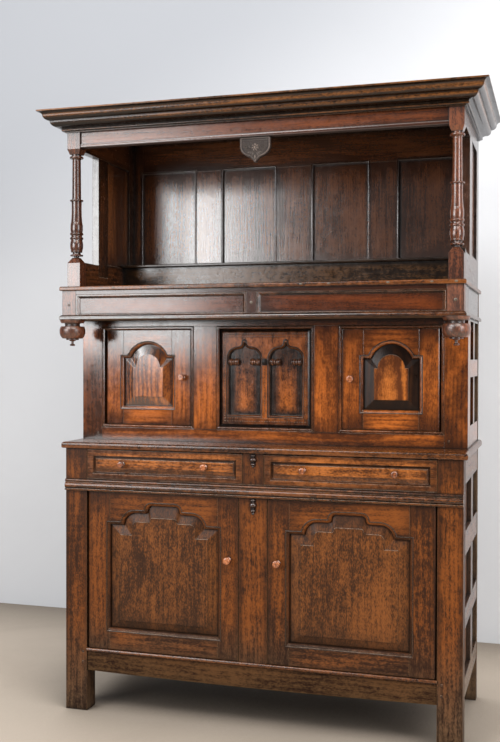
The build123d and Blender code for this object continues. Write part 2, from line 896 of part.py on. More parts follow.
far_line_x = (drawer_side_line[1] - drawer_side_thickness, drawer_side_line[1])
box_z = (drawer_z[0], drawer_z[1] - drawer_side_drop)
drawer_side_y = (front_back - drawer_lap, box_back)
drawer_sides = [block(span, drawer_side_y, box_z) for span in (side_line_x, far_line_x)]
box_inner = (side_line_x[1], far_line_x[0])
bottom_z = (box_z[0] + drawer_bottom_lift, box_z[0] + drawer_bottom_lift + drawer_bottom_thickness)
drawer_back_y = (box_back - drawer_side_thickness, box_back)
drawer_back = block(wider(box_inner, drawer_groove), drawer_back_y, (bottom_z[1], box_z[1]))
drawer_bottom = block(wider(box_inner, drawer_groove), (front_back - drawer_groove, box_back), bottom_z)
drawer_centre = sum(drawer_x) / 2
knob_z = sum(field_z) / 2
drawer_knobs = []
for knob_x in (drawer_centre - drawer_knob_spread, drawer_centre + drawer_knob_spread):
    tenon = stacked(-drawer_knob_tenon, (0, knob_neck), (drawer_knob_tenon, knob_neck))
    profile = tenon + knob_points(0, drawer_knob_radius, drawer_knob_length)
    drawer_knobs.append(turned_forward(knob_x, field_y, knob_z, profile))
drawer_front = block(drawer_x, (base_front, front_back), drawer_z) - pocket + raised
drawer_front = cut(drawer_front, *drawer_sides, drawer_bottom, *drawer_knobs)
drawer_box = [cut(side, drawer_back, drawer_bottom) for side in drawer_sides] + [drawer_back, drawer_bottom]

# ---- Middle tier: front frame, beads and posts ----
middle_frame_y = (middle_front, middle_front + middle_frame_thickness)
middle_post_y = (middle_front, middle_front + middle_post_depth)
middle_post = block((middle_inner, half_width), middle_post_y, (base_top, frieze_top))
middle_span = (-middle_inner, middle_inner)
sill = member(middle_span, middle_frame_y, (base_top, middle_sill), 0, 1)
head = member(middle_span, middle_frame_y, (middle_head, frieze_top), 0, 1)
opening_z = (middle_sill, middle_head)
muntin_x = stack(middle_muntin_inner, middle_muntin_width)[0]
middle_muntin = member(muntin_x, middle_frame_y, opening_z, 2, 1)
door_opening_x = (muntin_x[1], middle_inner)
centre_opening_x = (-middle_muntin_inner, middle_muntin_inner)
bead_front = middle_front - bead_stand
side_beads = bead_strips(door_opening_x, opening_z, middle_frame_y[1], bead_front)
centre_beads = bead_strips(centre_opening_x, opening_z, middle_frame_y[1], bead_front)

# ---- Middle doors ----
middle_door_x = wider(door_opening_x, -bead_width - door_gap)
middle_door_z = wider(opening_z, -bead_width - door_gap)
middle_face = middle_front + middle_door_recess
middle_centre = sum(middle_door_x) / 2
middle_half = middle_door_x[1] - middle_centre - middle_door_stile
middle_sight_low = middle_door_z[0] + middle_door_bottom_rail
middle_shoulder = middle_door_z[1] - middle_door_crown_rail - middle_arch_rise


def middle_sight(grow):
    """The arched opening of a middle door."""
    return arched_head(middle_centre, middle_half, middle_sight_low, middle_shoulder,
                       middle_arch_radius, middle_arch_rise, grow)


field_shoulder = middle_shoulder + middle_arch_rise - middle_field_drop - middle_field_radius
middle_field = arched_head(
    middle_centre, middle_half - middle_field_inset, middle_sight_low + middle_field_bottom,
    field_shoulder, middle_field_radius, middle_field_radius)
middle_stiles = (middle_door_stile, middle_door_stile)
middle_rails = (middle_door_bottom_rail, middle_door_crown_rail)
middle_knob = (middle_door_x[0] + middle_knob_inset, middle_knob_height)
middle_door_frame, middle_door_panel, middle_axis = framed_door(
    middle_door_x, middle_door_z, middle_face, middle_door_thickness, middle_stiles, middle_rails,
    middle_shoulder, middle_sight, middle_field, middle_knob)
middle_reach = middle_knob_inset + door_gap + bead_width + catch_overlap
middle_latch = latch(*middle_knob, middle_face, middle_frame_y[1] + catch_clearance, middle_reach)
middle_pins = pins(middle_axis, middle_door_z, door_gap + bead_width)

# ---- Middle tier: centre panel and arcade ----
centre_x = wider(centre_opening_x, -bead_width)
centre_z = wider(opening_z, -bead_width)
centre_y = stack(middle_front + centre_board_set, centre_board_thickness, centre_ground_thickness)
arch_centre = (arch_mullion + arch_width) / 2
arch_half = arch_width / 2
arch_low = centre_z[0] + arch_foot
spring_z = centre_z[0] + arch_spring


def keel_arch(centre, grow=0):
    """An upright opening whose head rises by a round and a hollow to a point."""
    hollow = arch_half - arch_round
    return symmetric(centre, 0, (arch_half + grow, arch_low - grow), (arch_half + grow, spring_z),
                     (hollow, spring_z + arch_round + grow, 90),
                     (arch_point + grow, spring_z + arch_round + hollow, -90))


board_y = centre_y[0]
chamfer_y = board_y[0] + centre_chamfer_depth
centre_flat = rectangle(wider(centre_x, -centre_chamfer), wider(centre_z, -centre_chamfer))
centre_board = tapered(rectangle(centre_x, centre_z), chamfer_y, centre_flat, board_y[0])
centre_board = centre_board + block(centre_x, (chamfer_y, board_y[1]), centre_z)
for arch_x in (-arch_centre, arch_centre):
    through = front_solid(keel_arch(arch_x), wider(board_y, 1))
    edge = tapered(keel_arch(arch_x, arch_edge), board_y[0], keel_arch(arch_x), board_y[0] + arch_edge)
    centre_board = cut(centre_board, through, edge)
centre_ground = block(centre_x, centre_y[1], centre_z)

ground_face = centre_y[1][0]
spool_end = bobbin_length / 2 - bobbin_ring - bobbin_bead
spool_rim = bobbin_radius - 1
spool_points = stacked(
    -bobbin_length / 2, (0, bobbin_waist + 1), (1, spool_rim, 60), (bobbin_ring - 1, bobbin_waist, 60),
    (spool_end, bobbin_waist), (bobbin_bead / 2, spool_rim, -60), (bobbin_bead, spool_rim, 60),
    (bobbin_bead / 2, bobbin_waist, -60), (spool_end, bobbin_waist), (bobbin_ring - 1, spool_rim, 60),
    (1, bobbin_waist + 1, 60))
impost_z = spring_z - bobbin_drop
spool = Rot(0, 90, 0) * turned(0, 0, spool_points)
front_half = block(centre_x, (ground_face - 2 * bobbin_radius, ground_face), centre_z)
bobbins = []
for bobbin_x in (arch_mullion + bobbin_length, arch_mullion + 2 * arch_width - bobbin_length):
    bobbins += both(Pos(bobbin_x / 2, ground_face - bobbin_stand, impost_z) * spool & front_half)
boss_points = stacked(0, (0, boss_radius), (2, boss_radius), (boss_stand, boss_radius / 3, 70))
boss = turned_forward(0, board_y[0], impost_z, boss_points)

# ---- Middle tier: sides, rear, back and floor ----
middle_side_x = (half_width - middle_side_thickness, half_width)
middle_rear_face = back_y - middle_rear_post_depth
middle_side_y = (middle_front + middle_post_depth, middle_rear_face)
layers = stack(base_top, middle_side_bottom_rail, middle_side_low_row, middle_side_middle_rail,
               middle_side_top_row)
middle_rail_spans = [*layers[0::2], (layers[-1][1], frieze_top)]
middle_muntin_y = stack(middle_side_y[0], middle_side_column, middle_side_muntin)[1]
middle_columns = [(middle_side_y[0], middle_muntin_y[0]), (middle_muntin_y[1], middle_side_y[1])]
middle_frame, middle_fills, middle_side_cutters = side_frame(
    middle_side_x, middle_side_y, middle_muntin_y, middle_columns, middle_rail_spans, layers[1::2])
middle_rear_post = block((rear_inner, half_width), (middle_rear_face, back_y), (base_top, frieze_top))
middle_rear_y = (middle_rear_face, board_face)
middle_rear_spans = [(base_top, base_top + middle_rear_rail), (frieze_top - middle_rear_rail, frieze_top)]
middle_rear_rails = [member(rear_span, middle_rear_y, span, 0, 1) for span in middle_rear_spans]
middle_back = boards(middle_back_boards, rear_span, (board_face, back_y), (base_top, frieze_top), 0)
middle_floor_y = (middle_frame_y[1], middle_rear_face)
middle_bearer_z = (base_top, base_top + middle_bearer_height)
middle_floor_z = (middle_bearer_z[1], middle_bearer_z[1] + floor_thickness)
middle_floor_x = (-middle_side_x[0], middle_side_x[0])
middle_bearer_y = stack(middle_floor_y[0], bearer_size) + stack(middle_floor_y[1] - bearer_size, bearer_size)
middle_bearers = [block(middle_span, span, middle_bearer_z) for span in middle_bearer_y]
middle_floor = boards(base_floor_boards, middle_floor_x, middle_floor_y, middle_floor_z, 0)
middle_floor = [cut(board, *both(middle_post)) for board in middle_floor]

# ---- Frieze ----
corner_x = (frieze_half - frieze_post_size, frieze_half)
corner_y = (frieze_front, frieze_front + frieze_post_size)
pendant_x, pendant_y = sum(corner_x) / 2, sum(corner_y) / 2
pendant_steps = [
    (0, pendant_button_radius / 2), (pendant_button_height / 2, pendant_button_radius, 80),
    (pendant_button_height / 2, pendant_stem_radius, 80), (pendant_stem_height, pendant_stem_radius),
    (0, pendant_ogee_radius), (pendant_ogee_height, pendant_step_radius, -60),
    (pendant_step_height, pendant_step_radius), (0, pendant_ball_foot),
    (pendant_ball_lower, pendant_ball_radius, 50), (pendant_ball_upper, pendant_ball_shoulder, 45),
    (0, pendant_neck_radius), (pendant_neck_height, pendant_neck_radius, -60), (0, pendant_cap_foot),
    (pendant_cap_height, pendant_cap_radius, 30)]
pendant_drop = sum(step[0] for step in pendant_steps)
pendant = turned(pendant_x, pendant_y, stacked(middle_top - pendant_drop, *pendant_steps))
corner_post = block(corner_x, corner_y, (middle_top, frieze_top))

frieze_span = (-corner_x[0], corner_x[0])
frieze_y = (frieze_front, frieze_front + frieze_frame_thickness)
frieze_low = (middle_top, middle_top + frieze_rail_height)
frieze_high = (frieze_top - frieze_rail_height, frieze_top)
frieze_rails = [member(frieze_span, frieze_y, span, 0, 1, tenon_length, frieze_rail_shoulder)
                for span in (frieze_low, frieze_high)]
block_x = wider((0, 0), frieze_block_width / 2)
frieze_block = member(block_x, frieze_y, (frieze_low[1], frieze_high[0]), 2, 1, stub_tenon / 2)
frieze_panel_y = (frieze_front + frieze_panel_recess, frieze_front + frieze_panel_recess + panel_thickness)
frieze_sight_x = (block_x[1], corner_x[0])
frieze_sight_z = (frieze_low[1], frieze_high[0])
frieze_slack = frieze_groove + groove_ease
frieze_panel, frieze_slot = [
    block(wider(frieze_sight_x, reach), frieze_panel_y, wider(frieze_sight_z, reach))
    for reach in (frieze_groove, frieze_slack)]
border_x = wider(frieze_sight_x, -frieze_border_side)
border_z = (frieze_sight_z[0] + frieze_border_bottom, frieze_sight_z[1] - frieze_border_top)


def part_way(outer, inner):
    """A span between an outer and an inner one."""
    return tuple(a + (b - a) * frieze_border_face for a, b in zip(outer, inner))


wide_ring = ring(frieze_sight_x, frieze_sight_z, border_x, border_z)
near_x, near_z = part_way(frieze_sight_x, border_x), part_way(frieze_sight_z, border_z)
face_ring = ring(frieze_sight_x, frieze_sight_z, near_x, near_z)
border_face_y = frieze_front + frieze_border_set
frieze_borders = [tapered(wide, frieze_panel_y[0], narrow, border_face_y)
                  for wide, narrow in zip(wide_ring, face_ring)]

frieze_side_x = (frieze_half - frieze_side_thickness, frieze_half)
frieze_side = block(frieze_side_x, (corner_y[1], middle_front), (middle_top, frieze_top))
frieze_profile = falling(
    frieze_moulding_stand / 4, middle_top + frieze_moulding_height,
    (-frieze_moulding_stand * 3 / 4, frieze_moulding_height - frieze_moulding_fillet, 70),
    (0, frieze_moulding_fillet, 0))
frieze_moulding = mitred_run(frieze_half, frieze_front, frieze_profile)
soffit_x = wider((0, 0), frieze_half - frieze_side_thickness)
soffit = block(soffit_x, (frieze_y[1], middle_front), (middle_top, middle_top + soffit_thickness))
soffit = cut(soffit, *both(corner_post))
top_board_x = wider((-frieze_half, frieze_half), top_board_overhang)
top_board_y = (frieze_front - top_board_front, back_y)
top_board = nosed_board(top_board_x, top_board_y, (frieze_top, shelf_top), top_board_nose, top_board_ease)
top_board_pitch = (top_board_y[1] - top_board_y[0]) / top_board_count
for number in range(1, top_board_count):
    kerf_y = top_board_y[0] + number * top_board_pitch
    top_board = top_board - block(top_board_x, (kerf_y, kerf_y + board_gap), (frieze_top, shelf_top))

# ---- Top tier: posts, rails and sides ----
shaft_low = shelf_top + post_lower_block
shaft_high = canopy_underside - post_upper_block
top_post_x = (top_half - top_post_size, top_half)
top_post_y = (top_front, top_front + top_post_size)
shaft_x, shaft_y = sum(top_post_x) / 2, sum(top_post_y) / 2


def band(radius, height):
    """The two steps of a rounded band that stands out of a turned shaft."""
    return [(0, radius), (height, radius, 120)]


half_swell = post_swell_height / 2
cap_low = shaft_high - post_cap_neck_height - post_cap_height
shaft = stacked(
    shaft_low, (0, post_neck_radius), (post_neck_height, post_neck_radius),
    *band(post_ring_radius, post_ring_height),
    (0, post_cup_rim), (post_cup_height, post_cup_radius, -40), (0, post_vase_foot),
    (post_vase_foot_height, post_vase_shoulder, 60), (post_vase_height, post_fillet_radius, 35),
    (post_fillet_height, post_fillet_radius), *band(post_band_radius, post_band_height),
    (0, post_fillet_radius), (post_band_gap, post_fillet_radius, -60),
    *band(post_band_radius, post_band_height), (0, post_fillet_radius),
    (half_swell, post_swell_radius, 20), (half_swell, post_taper_start, 20),
    (post_taper_height, post_taper_radius, -8), *band(post_collar_radius, post_collar_height))
shaft.append((post_shaft_radius, shaft[-1][1]))
shaft += stacked(
    cap_low - post_cap_height, (0, post_shaft_top_radius), (post_cap_height, post_cap_neck, -70),
    *band(post_cap_radius, post_cap_height), (0, post_cap_neck), (post_cap_neck_height, post_cap_neck))
top_post = turned(shaft_x, shaft_y, shaft)
lower_cube = block(top_post_x, top_post_y, (shelf_top, shaft_low))
upper_cube = block(top_post_x, top_post_y, (shaft_high, canopy_underside))
for cube, end, taper, taper_height in ((lower_cube, -1, post_low_taper, post_low_taper_height),
                                       (upper_cube, 0, post_high_taper, post_high_taper_height)):
    end_face = cube.faces().sort_by(Axis.Z)[end]
    top_post = top_post + chamfer(end_face.edges(), taper, taper_height, reference=end_face)

top_span = (-top_post_x[0], top_post_x[0])
top_rail_y = (top_front + top_rail_set, top_front + top_rail_set + top_rail_thickness)
top_rail_z = (top_rail_bottom, canopy_underside)
top_rail = member(top_span, top_rail_y, top_rail_z, 0, 1)
rail_bead_top = top_rail_bottom + top_rail_bead
rail_bead = falling(top_rail_bead_stand, rail_bead_top, (0, top_rail_bead, 40))
top_rail = top_rail + side_solid(moulding_face(top_rail_y[0], rail_bead), top_span)

top_side_x = (top_half - top_side_thickness, top_half)
front_stile_y = stack(top_post_y[1] + top_side_gap, top_front_stile)[0]
rear_stile_y = (back_y - top_rear_stile, back_y)
side_panel_y = (front_stile_y[1], rear_stile_y[0])
side_rail_y = (top_post_y[1], rear_stile_y[0])
side_top_rail = member(top_side_x, side_rail_y, top_rail_z, 1, 0)
low_top = shelf_top + top_low_board
low_dip = low_top - top_low_dip
rear_stile = block(top_side_x, rear_stile_y, (shelf_top, canopy_underside))
front_stile = member(top_side_x, front_stile_y, (shelf_top + top_low_board / 2, top_rail_bottom), 2, 0)
low_start = top_post_y[1]
low_face = outline((low_start, shelf_top), (side_panel_y[1], shelf_top), (side_panel_y[1], low_top),
                   (front_stile_y[1], low_top), (front_stile_y[1], low_dip),
                   (low_start + top_low_slope, low_dip), (low_start, shaft_low, -35))
low_board = side_solid(low_face, top_side_x)
low_board = low_board + tenons(top_side_x, side_rail_y, (shelf_top, low_dip), 1, 0)
low_board = cut(low_board, front_stile)
top_panel_x = (top_side_x[1] - top_panel_recess - panel_thickness, top_side_x[1] - top_panel_recess)
side_sight_z = (low_top, top_rail_bottom)
top_side_panel, top_side_slot = [block(top_panel_x, wider(side_panel_y, reach), wider(side_sight_z, reach))
                                 for reach in (groove_depth, groove_slack)]
top_side_frame = [cut(side_top_rail, front_stile, top_side_slot), cut(low_board, top_side_slot),
                  cut(rear_stile, side_top_rail, low_board, top_side_slot), cut(front_stile, top_side_slot)]

# ---- Shield plaque under the front rail ----
shield_y = (top_rail_y[0] + shield_inset, top_rail_y[0] + shield_inset + shield_thickness)
shield_points = [(shield_tip_half, shield_tip, 0), (shield_point_half, shield_point, -40),
                 (shield_waist_half, shield_waist, 30), (shield_half_width, shield_side, 50),
                 (shield_half_width, 0, 0)]
shield_face = symmetric(0, 0, *[(half, top_rail_bottom - drop, turn) for half, drop, turn in shield_points])
tongue_y = wider((sum(shield_y) / 2, sum(shield_y) / 2), shield_tongue_thickness / 2)
tongue_z = (top_rail_bottom - 1, top_rail_bottom + shield_tongue)
shield_tongue_bar = block(wider((0, 0), shield_tongue_half), tongue_y, tongue_z)
shield = front_solid(shield_face, shield_y) + shield_tongue_bar
top_rail = top_rail - shield

# ---- Top tier: panelled back, ledge, canopy and cornice ----
back_frame_y = (back_y - back_frame_thickness, back_y)
back_span = (-top_side_x[0], top_side_x[0])
back_z = (shelf_top, canopy_underside)
sight_z = (shelf_top + back_bottom_rail, canopy_underside - back_top_rail)
back_stile = block((back_span[1] - back_stile_width, back_span[1]), back_frame_y, back_z)
rail_x = (-back_span[1] + back_stile_width, back_span[1] - back_stile_width)
back_rail_spans = [(back_z[0], sight_z[0]), (sight_z[1], back_z[1])]
back_rails = [member(rail_x, back_frame_y, span, 0, 1) for span in back_rail_spans]
centre_upright_x = wider((0, 0), back_centre_muntin / 2)
inner_sight, outer_upright_x = stack(centre_upright_x[1], back_inner_panel, back_muntin)
outer_sight = (outer_upright_x[1], rail_x[1])
centre_upright = member(centre_upright_x, back_frame_y, sight_z, 2, 1)
outer_upright = member(outer_upright_x, back_frame_y, sight_z, 2, 1)
back_panel_y = (back_frame_y[0] + back_panel_recess, back_frame_y[0] + back_panel_recess + panel_thickness)
back_fills, back_slots = [[block(wider(span, reach), back_panel_y, wider(sight_z, reach))
                           for span in (inner_sight, outer_sight)] for reach in (groove_depth, groove_slack)]
uprights = [centre_upright, *both(outer_upright)]
all_slots = both(*back_slots)
back_frame = [cut(stile, *back_rails, *all_slots) for stile in both(back_stile)]
back_frame += [cut(rail, *uprights, *all_slots) for rail in back_rails]
back_frame += [cut(upright, *all_slots) for upright in uprights]

ledge_y = (back_frame_y[0] - ledge_depth, back_frame_y[0])
ledge_z = (shelf_top + ledge_top - ledge_thickness, shelf_top + ledge_top)
ledge = block(back_span, ledge_y, ledge_z)
ledge_arrises = edges_at(ledge.edges().filter_by(Axis.X), Axis.Y, ledge_y[0])
ledge = fillet(ledge_arrises, ledge_thickness / 3)
riser_y = (ledge_y[0] + ledge_nosing, ledge_y[0] + ledge_nosing + riser_thickness)
riser = block(back_span, riser_y, (shelf_top, ledge_z[0]))
canopy_z = (canopy_underside, cupboard_top)
canopy = boards(canopy_board_count, (-top_half, top_half), (top_front, back_y), canopy_z, 1)


cornice_profile = falling(
    cornice_projection, cupboard_top, (0, cornice_fillet, 0), (cornice_step, 0, 0),
    (cornice_cove_run, cornice_cove_drop, -70), (0, cornice_step, 0),
    (cornice_ovolo_run, cornice_ovolo_drop, 70), (cornice_quirk_run, 0, 0), (0, cornice_quirk_drop, 0),
    (cornice_lower_run, cornice_lower_drop, 70), (cornice_scotia_run, cornice_scotia_drop, -60),
    (0, cornice_bead, 120))
cornice_profile.append((cornice_foot, cornice_profile[-1][1], 0))
cornice_profile.append((cornice_foot, cupboard_top - cornice_height, 0))
cornice = mitred_run(top_half, top_front, cornice_profile)

# ---- Pegs ----
frieze_peg_z = sum(frieze_sight_z) / 2
block_peg = peg(0, frieze_peg_z, frieze_front)
corner_peg = peg(pendant_x, frieze_peg_z, frieze_front)
base_pegs = [peg(post_inner + peg_inset, height, base_front) for height in (
    apron_low + 2 * peg_inset, apron_top - peg_inset)]
middle_pegs = [peg(middle_inner + peg_inset, height, middle_front) for height in (
    (base_top + middle_sill) / 2, middle_head + head_peg_rise)]

# ---- Left-hand doors and drawer follow from the right-hand ones; everything is written out ----
os.makedirs("parts", exist_ok=True)

save("base_front_posts", *both(cut(front_post, apron, waist, *base_side_cutters, *base_pegs)))
save("base_muntins", door_muntin, drawer_muntin)
save("apron_rail", cut(apron, door_muntin, *both(*base_pegs), *both(*base_pins)))
runners = [*both(outer_runner), centre_runner]
save("waist_rail", cut(waist, door_muntin, drawer_muntin, *runners, *both(*base_pins)))
save("base_mouldings", waist_moulding, apron_bead)
save("split_turnings", *drops)
save("base_side_frames", *both(*base_frame))
save("base_side_panels", *both(*base_fills))
rear_posts = both(cut(rear_post, *base_side_cutters, *rear_rails))
save("base_rear_frame", *rear_posts, *[cut(rail, *runners) for rail in rear_rails])
save("base_back_boards", *base_back)
save("base_floor_boards", front_bearer, rear_bearer, *base_floor)
save("drawer_runners", *runners, *both(outer_guide), centre_guide)
save("base_top_board", base_board - drawer_muntin)
save("hinge_pins", *both(*base_pins, *middle_pins))

middle_posts = both(cut(middle_post, sill, head, *middle_side_cutters, *middle_pegs))
middle_bars = [cut(rail, *both(middle_muntin, *middle_pins, *middle_pegs)) for rail in (sill, head)]
save("middle_front_frame", *middle_posts, *both(middle_muntin), *middle_bars)
save("middle_opening_beads", *both(*[cut(strip, *middle_pins) for strip in side_beads]), *centre_beads)
save("centre_panel", centre_board, centre_ground)
save("arch_bobbins", *bobbins, boss)
save("middle_side_frames", *both(*middle_frame))
save("middle_side_panels", *both(*middle_fills))
middle_rear_posts = both(cut(middle_rear_post, *middle_side_cutters, *middle_rear_rails))
save("middle_rear_frame", *middle_rear_posts, *middle_rear_rails)
save("middle_back_boards", *middle_back)
save("middle_floor_boards", *middle_bearers, *middle_floor)

save("frieze_pendants", *both(cut(corner_post + pendant, *frieze_rails, frieze_slot, corner_peg)))
frieze_bars = [cut(rail, frieze_block, *both(frieze_slot, corner_peg)) for rail in frieze_rails]
save("frieze_frame", *frieze_bars, cut(frieze_block, *both(frieze_slot), block_peg))
save("frieze_panels", *both(frieze_panel))
save("frieze_panel_mouldings", *both(*frieze_borders))
save("frieze_lower_moulding", *frieze_moulding)
save("frieze_sides", *both(frieze_side))
save("frieze_soffit", soffit)
save("frieze_top_board", top_board)
save("frame_pegs", *both(corner_peg, *base_pegs, *middle_pegs), block_peg)

save("top_posts", *both(cut(top_post, top_rail, side_top_rail, low_board)))
save("top_side_frames", *both(*top_side_frame))
save("top_side_panels", *both(top_side_panel))
save("top_front_rail", top_rail)
save("shield_plaque", shield)
save("back_frame", *back_frame)
save("back_panels", *both(*back_fills))
save("back_ledge", ledge, riser)
save("canopy_boards", *canopy)
save("cornice", *cornice)


def placed(side, shape):
    """A right-hand shape, or its twin on the left."""
    return flipped(shape) if side == "left" else shape


for side in ("right", "left"):
    save(f"{side}_base_door_frame", *[placed(side, piece) for piece in base_door_frame])
    save(f"{side}_base_door_panel", placed(side, base_door_panel))
    save(f"{side}_base_door_latch", *[placed(side, piece) for piece in base_latch])
    save(f"{side}_middle_door_frame", *[placed(side, piece) for piece in middle_door_frame])
    save(f"{side}_middle_door_panel", placed(side, middle_door_panel))
    save(f"{side}_middle_door_latch", *[placed(side, piece) for piece in middle_latch])
    save(f"{side}_drawer_front", placed(side, drawer_front))
    save(f"{side}_drawer_box", *[placed(side, piece) for piece in drawer_box])
    save(f"{side}_drawer_knobs", *[placed(side, knob) for knob in drawer_knobs])
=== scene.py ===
"""The looks of a joined oak court cupboard: its finishes, small trim, stage, light and camera."""

import logging
import math
import random
from dataclasses import dataclass, field, replace
from enum import Enum
from typing import Sequence

import bmesh
import bpy
import numpy as np
from mathutils import Matrix, Vector


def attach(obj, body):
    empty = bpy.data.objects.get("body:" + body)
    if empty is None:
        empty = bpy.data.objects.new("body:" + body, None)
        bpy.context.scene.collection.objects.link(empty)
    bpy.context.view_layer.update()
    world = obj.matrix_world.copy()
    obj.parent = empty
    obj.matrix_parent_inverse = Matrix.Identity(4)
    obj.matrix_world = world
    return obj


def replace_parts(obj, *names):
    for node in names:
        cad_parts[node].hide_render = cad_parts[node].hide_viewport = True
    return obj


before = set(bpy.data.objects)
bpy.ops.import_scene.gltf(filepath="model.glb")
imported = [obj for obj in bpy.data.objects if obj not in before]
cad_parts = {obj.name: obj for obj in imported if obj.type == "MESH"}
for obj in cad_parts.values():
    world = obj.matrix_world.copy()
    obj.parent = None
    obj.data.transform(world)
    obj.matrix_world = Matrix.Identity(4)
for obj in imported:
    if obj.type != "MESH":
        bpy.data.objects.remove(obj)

Colour = tuple[float, float, float]
Point = tuple[float, float, float]
Band = tuple[float, float]

LOG = logging.getLogger("cupboard")
MILLIMETRE = 0.001
WELD_STEP = 1e-5
SHADE_END = 0.04045
SHADE_SLOPE = 12.92
TONE_LIFT = 0.055
TONE_POWER = 2.4


def tone(red: int, green: int, blue: int) -> Colour:
    """Turn a colour as the eye names it, 0 to 255, into the light it sends back.

    Args:
        red: The red share.
        green: The green share.
        blue: The blue share.

    Returns:
        The three linear shares, 0 to 1.
    """
    shares = (red / 255, green / 255, blue / 255)
    return tuple(share / SHADE_SLOPE if share <= SHADE_END
                 else ((share + TONE_LIFT) / (1 + TONE_LIFT)) ** TONE_POWER for share in shares)


# ---- Shader and geometry webs ----
class Signal:
    """A node's output that takes part in arithmetic as a number or a vector."""

    def __init__(self, web: "Web", socket: bpy.types.NodeSocket) -> None:
        """Wrap one output.

        Args:
            web: The web that the output is in.
            socket: The output itself.
        """
        self.web, self.socket = web, socket

    @property
    def is_vector(self) -> bool:
        """Whether the output has three parts."""
        return self.socket.type in ("VECTOR", "RGBA")

    def __add__(self, other: "Value") -> "Signal":
        """Add a value."""
        return self.web.maths("ADD", self, other)

    def __radd__(self, other: "Value") -> "Signal":
        """Add to a value."""
        return self.web.maths("ADD", other, self)

    def __sub__(self, other: "Value") -> "Signal":
        """Take a value away."""
        return self.web.maths("SUBTRACT", self, other)

    def __rsub__(self, other: "Value") -> "Signal":
        """Take this away from a value."""
        return self.web.maths("SUBTRACT", other, self)

    def __mul__(self, other: "Value") -> "Signal":
        """Multiply by a value."""
        return self.web.maths("MULTIPLY", self, other)

    def __rmul__(self, other: "Value") -> "Signal":
        """Multiply a value."""
        return self.web.maths("MULTIPLY", other, self)

    def __truediv__(self, other: "Value") -> "Signal":
        """Divide by a value."""
        return self.web.maths("DIVIDE", self, other)

    def __pow__(self, other: "Value") -> "Signal":
        """Raise to a power."""
        return self.web.maths("POWER", self, other)


Value = Signal | float | Sequence[float]


